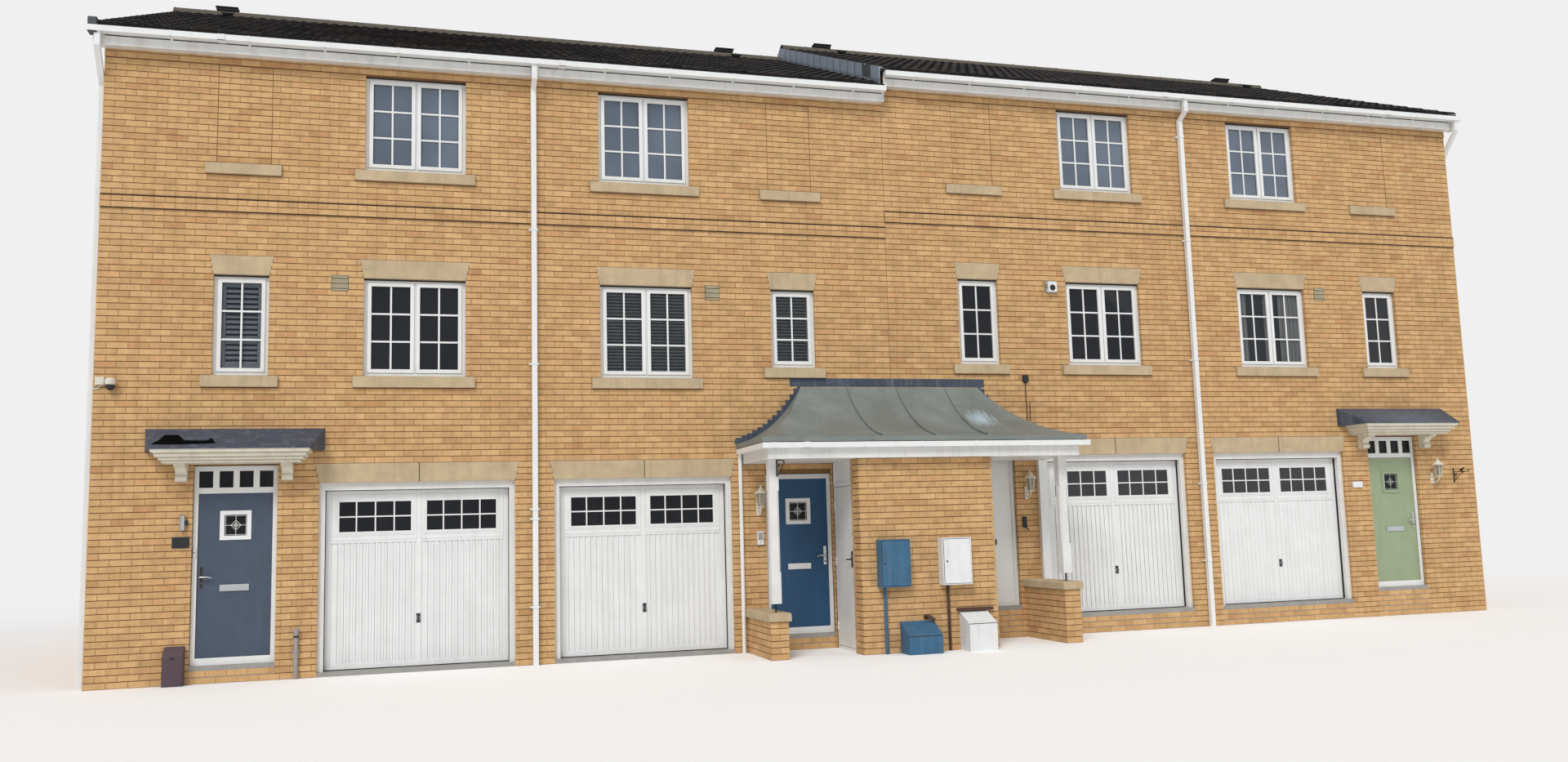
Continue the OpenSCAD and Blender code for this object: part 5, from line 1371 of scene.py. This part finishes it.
def fitCables():
    shape = newShape()
    for wire in wires:
        addWire(shape, wire, 0)
    x, y = -0.06, row["front"] - row["storeOut"] - 0.006
    addTube(shape, [(x - 0.02, y + 0.004, 0.425), (x - 0.01, y - 0.055, 0.432), (x + 0.02, y - 0.085, 0.415),
                    (x + 0.055, y - 0.10, 0.385)], [0.024, 0.024, 0.023, 0.022], 1, 12)
    addLathe(shape, (x - 0.02, y + 0.005, 0.425), (0, -1, 0), [(0, 0.033), (0.012, 0.033), (0.014, 0.028)], 1)
    x, y = -7.477, wallFace - 0.034  # upright stub, with its collar, cap and clip
    for z, outline, slot in ((0.0, [(0, 0.024), (0.52, 0.024), (0.521, 0.022)], 2),
                             (0.47, [(0, 0.029), (0.012, 0.031), (0.018, 0.031), (0.02, 0.028)], 0),
                             (0.515, [(0, 0.028), (0.05, 0.028), (0.056, 0.022)], 2)):
        addLathe(shape, (x, y, z), (0, 0, 1), outline, slot)
    addBox(shape, (x - 0.034, y - 0.006, 0.30), (x + 0.034, wallFace, 0.325), 2)
    makePiece("cablesAndStubs", shape, [mats["blackPlastic"], mats["brownPipe"], mats["greyPlastic"]])


cornerCamera = {"x": -9.490, "out": 0.078, "hoodZ": 3.396, "domeZ": 3.330}  # the camera at the left corner


def fitCamera():
    shape = newShape()
    addPlate(shape, -9.655, -9.562, 3.400, 3.492, 0.045, 2)
    addWire(shape, cameraWire, 1)
    addPlate(shape, -9.562, -9.535, 3.425, 3.455, 0.030, 2)
    x, y = cornerCamera["x"], wallFace - cornerCamera["out"]
    addLathe(shape, (x, y, cornerCamera["hoodZ"]), (0, 0, 1),
             [(0, 0.050), (0.012, 0.055), (0.060, 0.055), (0.074, 0.042), (0.078, 0.020)], 2, 24)
    addPlate(shape, -9.512, -9.468, 3.410, 3.452, 0.040, 2)
    addLathe(shape, (x, y, cornerCamera["domeZ"]), (0, 0, 1),
             [(0, 0.010), (0.006, 0.024), (0.020, 0.040), (0.040, 0.048), (0.067, 0.049)], 1, 24)
    makePiece("cornerCamera", shape, [mats["whitePlastic"], mats["blackPlastic"], mats["cream"]], bevel=0.002)


cover = {"x": (-8.865, -8.650), "ribs": 5, "firstRib": 0.03, "ribStep": 0.06, "ribTall": 0.028}


def fitCover():
    shape = newShape()
    x0, x1 = cover["x"]
    y = wallFace
    addPrism(shape, [(x0, y, 0.0), (x0, y - 0.135, 0.0), (x0, y - 0.135, 0.335), (x0, y - 0.10, 0.375),
                     (x0, y, 0.435)], (x1 - x0, 0, 0), 0)
    for k in range(cover["ribs"]):
        z = cover["firstRib"] + k * cover["ribStep"]
        addBox(shape, (x0 + 0.012, y - 0.139, z), (x1 - 0.012, y - 0.134, z + cover["ribTall"]), 0)
    addBox(shape, (x0 + 0.085, y - 0.141, 0.30), (x1 - 0.085, y - 0.134, 0.325), 1)
    makePiece("serviceCover", shape, [mats["purplePlastic"], mats["blackPlastic"]], bevel=0.004)


# Iron brackets for hanging baskets, one on the left post and one by the end door
hanger = {"postX": -1.925, "postGap": 0.062, "doorX": 9.283, "armZ": 2.132, "reach": 0.300}


def addScroll(shape, start, reach, radius, turns, steps=22):
    points = []
    for k in range(steps):
        share = k / (steps - 1)
        angle = math.radians(-90 + 360 * turns * share)
        size = reach * (1 - 0.72 * share)
        points.append(Vector(start) + Vector((0, math.cos(angle) * size, math.sin(angle) * size)))
    addTube(shape, points, radius, 0, 6)


def fitHangers():
    shape = newShape()
    x, y = hanger["postX"], row["front"] - row["postOut"] - hanger["postGap"]
    addBox(shape, (x - 0.010, y - 0.005, 2.195), (x + 0.010, y, 2.420))
    addTube(shape, [(x, y - 0.004, 2.205), (x + 0.016, y - 0.05, 2.225), (x + 0.034, y - 0.10, 2.280),
                    (x + 0.040, y - 0.115, 2.335)], 0.0065, 0, 8)
    addTube(shape, [(x, y - 0.003, 2.392), (x + 0.024, y - 0.06, 2.388), (x + 0.046, y - 0.14, 2.380)],
            0.0065, 0, 8)
    addScroll(shape, (x + 0.050, y - 0.145, 2.365), 0.022, 0.005, 1.2)
    addScroll(shape, (x + 0.014, y - 0.048, 2.330), 0.026, 0.005, 1.3)

    def along(out, rise):
        return (hanger["doorX"], wallFace - out, hanger["armZ"] + rise)

    addBox(shape, (hanger["doorX"] - 0.010, wallFace - 0.006, 1.968),
           (hanger["doorX"] + 0.010, wallFace, 2.191))
    addTube(shape, [along(0.004, 0), along(hanger["reach"], 0)], 0.0062, 0, 8)
    addTube(shape, [along(0.004, -0.142), along(0.060, -0.095), along(0.140, -0.030), along(0.215, -0.003)],
            0.0055, 0, 8)
    addScroll(shape, along(0.052, -0.040), 0.030, 0.0045, 1.4)
    addScroll(shape, along(hanger["reach"], 0.018), 0.018, 0.0045, 0.9)
    # Ornament on the arm
    addLathe(shape, along(0.170, 0.004), (0, 0.25, 1),
             [(0, 0.006), (0.012, 0.017), (0.030, 0.021), (0.045, 0.014), (0.052, 0.010)], 0, 10)
    addLathe(shape, along(0.190, 0.050), (0, -1, 0.25),
             [(0, 0.008), (0.010, 0.013), (0.020, 0.008), (0.032, 0.001)], 0, 8)
    addTube(shape, [along(0.160, 0.030), along(0.128, 0.022), along(0.105, 0.010)],
            [0.013, 0.008, 0.003], 0, 8)
    makePiece("hangingBrackets", shape, [mats["blackIron"]])


fitLanterns()
fitPlates()
fitCables()
fitCamera()
fitCover()
fitHangers()
print("scene: fixtures on the walls")


# Meter boxes: dark outlines of painted shade round the doors, locks and slatted covers
meters = {
    "doors": ((-0.510, 0), (0.310, 1)),  # middle of each door, look
    "front": -5.75, "doorOut": 0.008, "wide": 0.354, "tall": 0.544, "low": 0.828, "rebate": 0.006,
}
footBoxes = {
    "boxes": ((-0.430, 0.010, 0.375, 0.215, 0), (0.370, 0.740, 0.458, 0.330, 1)),  # x0, x1, back, front, look
    "slats": 5, "gap": 0.025, "deep": 0.275, "start": 0.08, "end": 0.86,
}
sleeve = {"x": 0.222, "out": 0.027, "radius": 0.0182, "tall": 0.807, "clip": 0.021,
          "clips": (0.12, 0.46, 0.76)}
storeFace = row["front"] - row["storeOut"]


def fitMeters():
    shape = newShape()
    front, rebate = meters["front"], meters["rebate"]
    y = front - meters["doorOut"]
    z0, z1 = meters["low"], meters["low"] + meters["tall"]
    for centre, slot in meters["doors"]:
        x0, x1 = centre - meters["wide"] / 2, centre + meters["wide"] / 2
        # Dark outline round each door: painted shade of the door's gap
        for a, b, c, d in outlineStrips(x0, x1, z0, z1, rebate):
            addBox(shape, (a, front - 0.0012, c), (b, front + 0.002, d), 2)
        addLathe(shape, (x0 + 0.038, y + 0.0005, z0 + meters["tall"] * 0.5), (0, -1, 0),
                 [(0, 0.012), (0.003, 0.012), (0.004, 0.009)], 2, 14)
        for z in (z0 + 0.09, z1 - 0.09):
            addBox(shape, (x1 + 0.0005, y + 0.002, z - 0.022), (x1 + 0.007, y + 0.0075, z + 0.022), slot)
        for dx in (-0.115, 0.115):
            addBox(shape, (centre + dx - 0.02, front + 0.05, z0 - 0.0185),
                   (centre + dx + 0.02, front + 0.09, z0 - 0.0175), 2)
    makePiece("meterTrim", shape, [mats["bluePlastic"], mats["whitePlastic"], mats["rubberAndShade"]], bevel=0.001)


# Slats across the sloped lids, with a dark strip of painted shade in each gap
def fitSlats():
    shape = newShape()
    f = footBoxes
    for x0, x1, back, front, slot in f["boxes"]:

        def addLidStrip(section, inset, look):
            ring = [(x0 + inset, storeFace - f["gap"] - f["deep"] * min(share, 1.0),
                     back + (front - back) * share + lift) for share, lift in section]
            addPrism(shape, ring, (x1 - x0 - 2 * inset, 0, 0), look)

        for k in range(f["slats"]):
            a, b, c = ((k + share) / f["slats"] for share in (f["start"], f["end"], 1 + f["start"]))
            addLidStrip(((a, 0.001), (a, 0.010), (b, 0.004), (b, 0.001)), -0.003, slot)
            addLidStrip(((b, 0.0008), (b, 0.0032), (c, 0.0032), (c, 0.0008)), 0.002, 2)
    makePiece("coverSlats", shape, [mats["bluePlastic"], mats["whitePlastic"], mats["shadowGap"]])


def fitSleeve():
    shape = newShape()
    x, y = sleeve["x"], storeFace - sleeve["out"]
    addLathe(shape, (x, y, 0.001), (0, 0, 1), [(0, sleeve["radius"]), (sleeve["tall"], sleeve["radius"])])
    for z in sleeve["clips"]:
        addLathe(shape, (x, y, z), (0, 0, 1), [(0, sleeve["clip"]), (0.03, sleeve["clip"])])
    addBox(shape, (0.334, storeFace - 0.0562, 0.477), (0.816, storeFace - 0.0008, 0.5132))
    makePiece("brownSleeve", shape, [mats["brownPipe"]], bevel=0.001)


fitMeters()
fitSlats()
fitSleeve()


# Gutter brackets, gutter unions, a painted shadow line under the gutters, and clips on the downpipes
gutter = {
    "front": -4.7702, "back": -4.6585, "top": 7.555, "low": 7.487,
    "thick": 0.004, "wide": 0.028, "first": 0.45, "pitch": 0.85, "brackets": 11,
    "unions": (4.40, 8.40), "unionWide": 0.085, "rib": 0.034,  # two ribs beside each union's middle
}
pipe = {
    "side": 0.065, "out": 0.023, "clip": 0.026,
    "heights": {-1: [0.68, 1.75, 1.87, 3.67, 5.38], 1: [0.92, 2.02, 3.82, 5.60, 7.18]},
}


def addGutterStrap(shape, x, wide, level, thick, tail):
    g = gutter
    x0, x1 = x - wide / 2, x + wide / 2
    z0, z1 = g["low"] + level, g["top"] + level
    addBox(shape, (x0, g["front"] - thick, z0 - thick), (x1, g["front"] + 0.001, z1 + 0.002))
    addBox(shape, (x0, g["front"] - thick, z0 - thick), (x1, g["back"] - 0.001, z0 + 0.001))
    if tail:
        addBox(shape, (x0 + 0.002, g["back"] - 0.004, z0 - 0.048), (x1 - 0.002, g["back"] + 0.0005, z0))


def fitGutters():
    shape = newShape()
    g = gutter
    for pair in (-1, 1):
        level = levelOf(pair)
        for k in range(g["brackets"]):
            addGutterStrap(shape, pair * (g["first"] + k * g["pitch"]), g["wide"], level, g["thick"], True)
        for x in g["unions"]:
            addGutterStrap(shape, pair * x, g["unionWide"], level, 0.006, False)
            for dx in (-g["rib"], g["rib"]):
                addGutterStrap(shape, pair * x + dx, 0.010, level, 0.008, False)
        x0, x1 = sorted((pair * 0.03, pair * 9.66))
        low = g["low"] + level  # a dark line of painted shadow runs below the gutter's back edge
        addBox(shape, (x0, g["back"] - 0.0012, low - 0.016), (x1, g["back"] + 0.001, low), 1)
    makePiece("gutterBrackets", shape, [mats["upvc"], mats["shadowGap"]], bevel=0.001)


def fitPipeClips():
    shape = newShape()
    half = pipe["side"] / 2
    near = row["front"] - pipe["out"]
    far = near - 2 * half
    for pair in (-1, 1):
        x = pair * row["partyX"]
        for z in pipe["heights"][pair]:
            top = z + pipe["clip"]
            addBox(shape, (x - half - 0.006, far - 0.006, z), (x + half + 0.006, far + 0.001, top))
            for side in (-1, 1):
                a, b = sorted((x + side * (half - 0.001), x + side * (half + 0.006)))
                addBox(shape, (a, far - 0.001, z), (b, wallFace, top))
                a, b = sorted((x + side * (half + 0.005), x + side * (half + 0.028)))
                addBox(shape, (a, near - 0.014, z + 0.002), (b, wallFace, top - 0.002))
    makePiece("pipeClips", shape, [mats["upvc"]], bevel=0.001)


# The lifted edge of the lead over the first door, with a black sheet of painted shadow under it, and its
# outline as (x, distance from the wall)
tear = {
    "outline": [(-8.990, 0.410), (-8.922, 0.288), (-8.893, 0.186), (-8.747, 0.180), (-8.666, 0.321),
                (-8.433, 0.331), (-8.386, 0.273), (-8.331, 0.389), (-8.420, 0.402), (-8.700, 0.414)],
    "edgeOut": 0.485, "edgeZ": 2.651, "slope": 0.5187,
}


def fitLiftedLead():
    shape = newShape()
    ring = [Vector((x, row["front"] - out, tear["edgeZ"] + (tear["edgeOut"] - out) * tear["slope"]))
            for x, out in tear["outline"]]
    addPrism(shape, [q + Vector((0, -0.0002, 0.0004)) for q in ring], (0, -0.0014, 0.0028), 0)
    addTube(shape, [q + Vector((0, -0.004, 0.008)) for q in ring[1:7]], 0.006, 1, 8)
    makePiece("liftedLead", shape, [mats["shadowVoid"], mats["lead"]])


# Caps of the dry verge over the step, with dark strips of painted shade in the joints between them, and lead
# teeth below
verge = {"back": -0.0600, "joint": 0.009, "gap": 0.006, "lostCap": 1}


def fitVergeJoints():
    shape = newShape()
    run = roof["eavesY"] / roof["rows"]
    for way in (1, -1):

        def addVergePiece(near, section, slot):
            ring = [(near, way * y, roofTop(y, row["step"]) + lift) for y, lift in section]
            addPrism(shape, ring, (verge["back"] - near, 0, 0), slot)

        # Dark strips in the joints: painted shade between the caps
        for k in range(1, roof["rows"]):
            y = k * run - roof["eavesY"]
            top = roofTop(y, row["step"])
            y0, y1 = sorted((way * (y - verge["joint"]), way * (y + verge["joint"])))
            addBox(shape, (-0.0800, y0, top - 0.158), (verge["back"], y1, top + 0.024), 0)
        for k in range(roof["rows"]):
            lost = way > 0 and k == verge["lostCap"]
            near, drop = (-0.0812, -0.012) if lost else (-0.0835, 0.0)
            y0, y1 = k * run - roof["eavesY"], (k + 1) * run - roof["eavesY"]
            a, b = y0 + verge["gap"], y1 - verge["gap"]
            addVergePiece(near, ((a, -0.165), (b, -0.165), (b, 0.022 + drop), (a, 0.030 + drop)),
                          1 if lost else 2)
            addVergePiece(-0.0822, ((y0, -0.160), (y1, -0.160), (y1, -0.188), (y0, -0.236)), 3)
    addBox(shape, (-9.8185, -4.765, 7.470), (-9.7225, -4.640, 7.652), 1)  # the verge's eaves end at the left
    makePiece("vergeJoints", shape, [mats["rubberAndShade"], mats["vergeEnd"], mats["verge"], mats["toothLead"]],
              bevel=0.003)


# Straps and one union on the porch gutter
strap = {
    "places": (-2.02, -0.87, -0.12, 0.62, 1.33, 2.05), "half": 0.013, "union": (-1.660, -1.580),
    "front": -5.810, "frontIn": -5.8055, "back": -5.731, "low": 2.524, "lowIn": 2.5285, "top": 2.597,
}


def fitPorchStraps():
    shape = newShape()
    f = strap
    pieces = [(x - f["half"], x + f["half"], f["front"], f["low"], f["top"]) for x in f["places"]]
    pieces.append((*f["union"], f["front"] - 0.002, f["low"] - 0.002, f["top"] + 0.001))
    for x0, x1, front, low, top in pieces:
        addBox(shape, (x0, front, low), (x1, f["frontIn"], top))
        addBox(shape, (x0, front, low), (x1, f["back"], f["lowIn"]))
    for x in f["places"]:
        addBox(shape, (x - 0.010, -5.735, 2.478), (x + 0.010, -5.729, 2.526))
    makePiece("porchStraps", shape, [mats["upvc"]], bevel=0.001)


fitVergeJoints()
fitPorchStraps()
fitGutters()
fitPipeClips()
fitLiftedLead()
fitGarageGapShade()
print("scene: gutters, clips and seals fitted")

# Camera, floor and light
view = {"place": (-6.103, -20.108, 1.594), "yaw": 16.415, "pitch": 6.66, "roll": -1.616, "lens": 28.46}


def setCamera():
    yaw, pitch, roll = (math.radians(view[k]) for k in ("yaw", "pitch", "roll"))
    ahead = Vector((math.sin(yaw) * math.cos(pitch), math.cos(yaw) * math.cos(pitch), math.sin(pitch)))
    right = Vector((math.cos(yaw), -math.sin(yaw), 0))
    up = right.cross(ahead)
    turned = right * math.cos(roll) + up * math.sin(roll)
    top = turned.cross(ahead)
    data = bpy.data.cameras.new("camera")
    data.lens = view["lens"]
    data.sensor_width = 36.0
    data.clip_end = 500
    camera = bpy.data.objects.new("camera", data)
    turn = Matrix((turned, top, -ahead)).transposed().to_4x4()
    camera.matrix_world = Matrix.Translation(view["place"]) @ turn
    bpy.context.scene.collection.objects.link(camera)
    bpy.context.scene.camera = camera


def setFloor():
    mesh = bpy.data.meshes.new("floor")
    size = 300
    mesh.from_pydata([(-size, -size, 0), (size, -size, 0), (size, size, 0), (-size, size, 0)], [],
                     [(0, 1, 2, 3)])
    material = bpy.data.materials.new("paleFloor")
    material.use_nodes = True
    shader = material.node_tree.nodes["Principled BSDF"]
    shader.inputs["Base Color"].default_value = (0.985, 0.968, 0.950, 1)
    shader.inputs["Roughness"].default_value = 0.9
    mesh.materials.append(material)
    floor = bpy.data.objects.new("floor", mesh)
    bpy.context.scene.collection.objects.link(floor)


def setLight():
    world = bpy.data.worlds.new("paleSky")
    bpy.context.scene.world = world
    world.use_nodes = True
    tree = world.node_tree
    sky = tree.nodes["Background"]
    sky.inputs[0].default_value = (0.93, 0.96, 1.0, 1)
    sky.inputs[1].default_value = 0.50
    seen = tree.nodes.new("ShaderNodeBackground")
    seen.inputs[0].default_value = (0.873, 0.873, 0.873, 1)
    path = tree.nodes.new("ShaderNodeLightPath")
    blend = tree.nodes.new("ShaderNodeMixShader")
    direct = mathNode(tree, "MAXIMUM", path.outputs["Is Camera Ray"], path.outputs["Is Transmission Ray"])
    tree.links.new(direct, blend.inputs[0])
    tree.links.new(sky.outputs[0], blend.inputs[1])
    tree.links.new(seen.outputs[0], blend.inputs[2])
    tree.links.new(blend.outputs[0], tree.nodes["World Output"].inputs[0])
    for name, turn, energy, angle in (("key", (46, 0, -30), 1.75, 22), ("fill", (60, 0, 55), 0.40, 60)):
        data = bpy.data.lights.new(name, "SUN")
        data.energy = energy
        data.angle = math.radians(angle)
        light = bpy.data.objects.new(name, data)
        light.rotation_euler = [math.radians(a) for a in turn]
        bpy.context.scene.collection.objects.link(light)
    bpy.context.scene.view_settings.view_transform = "Standard"


setCamera()
setFloor()
setLight()

print("scene: done")
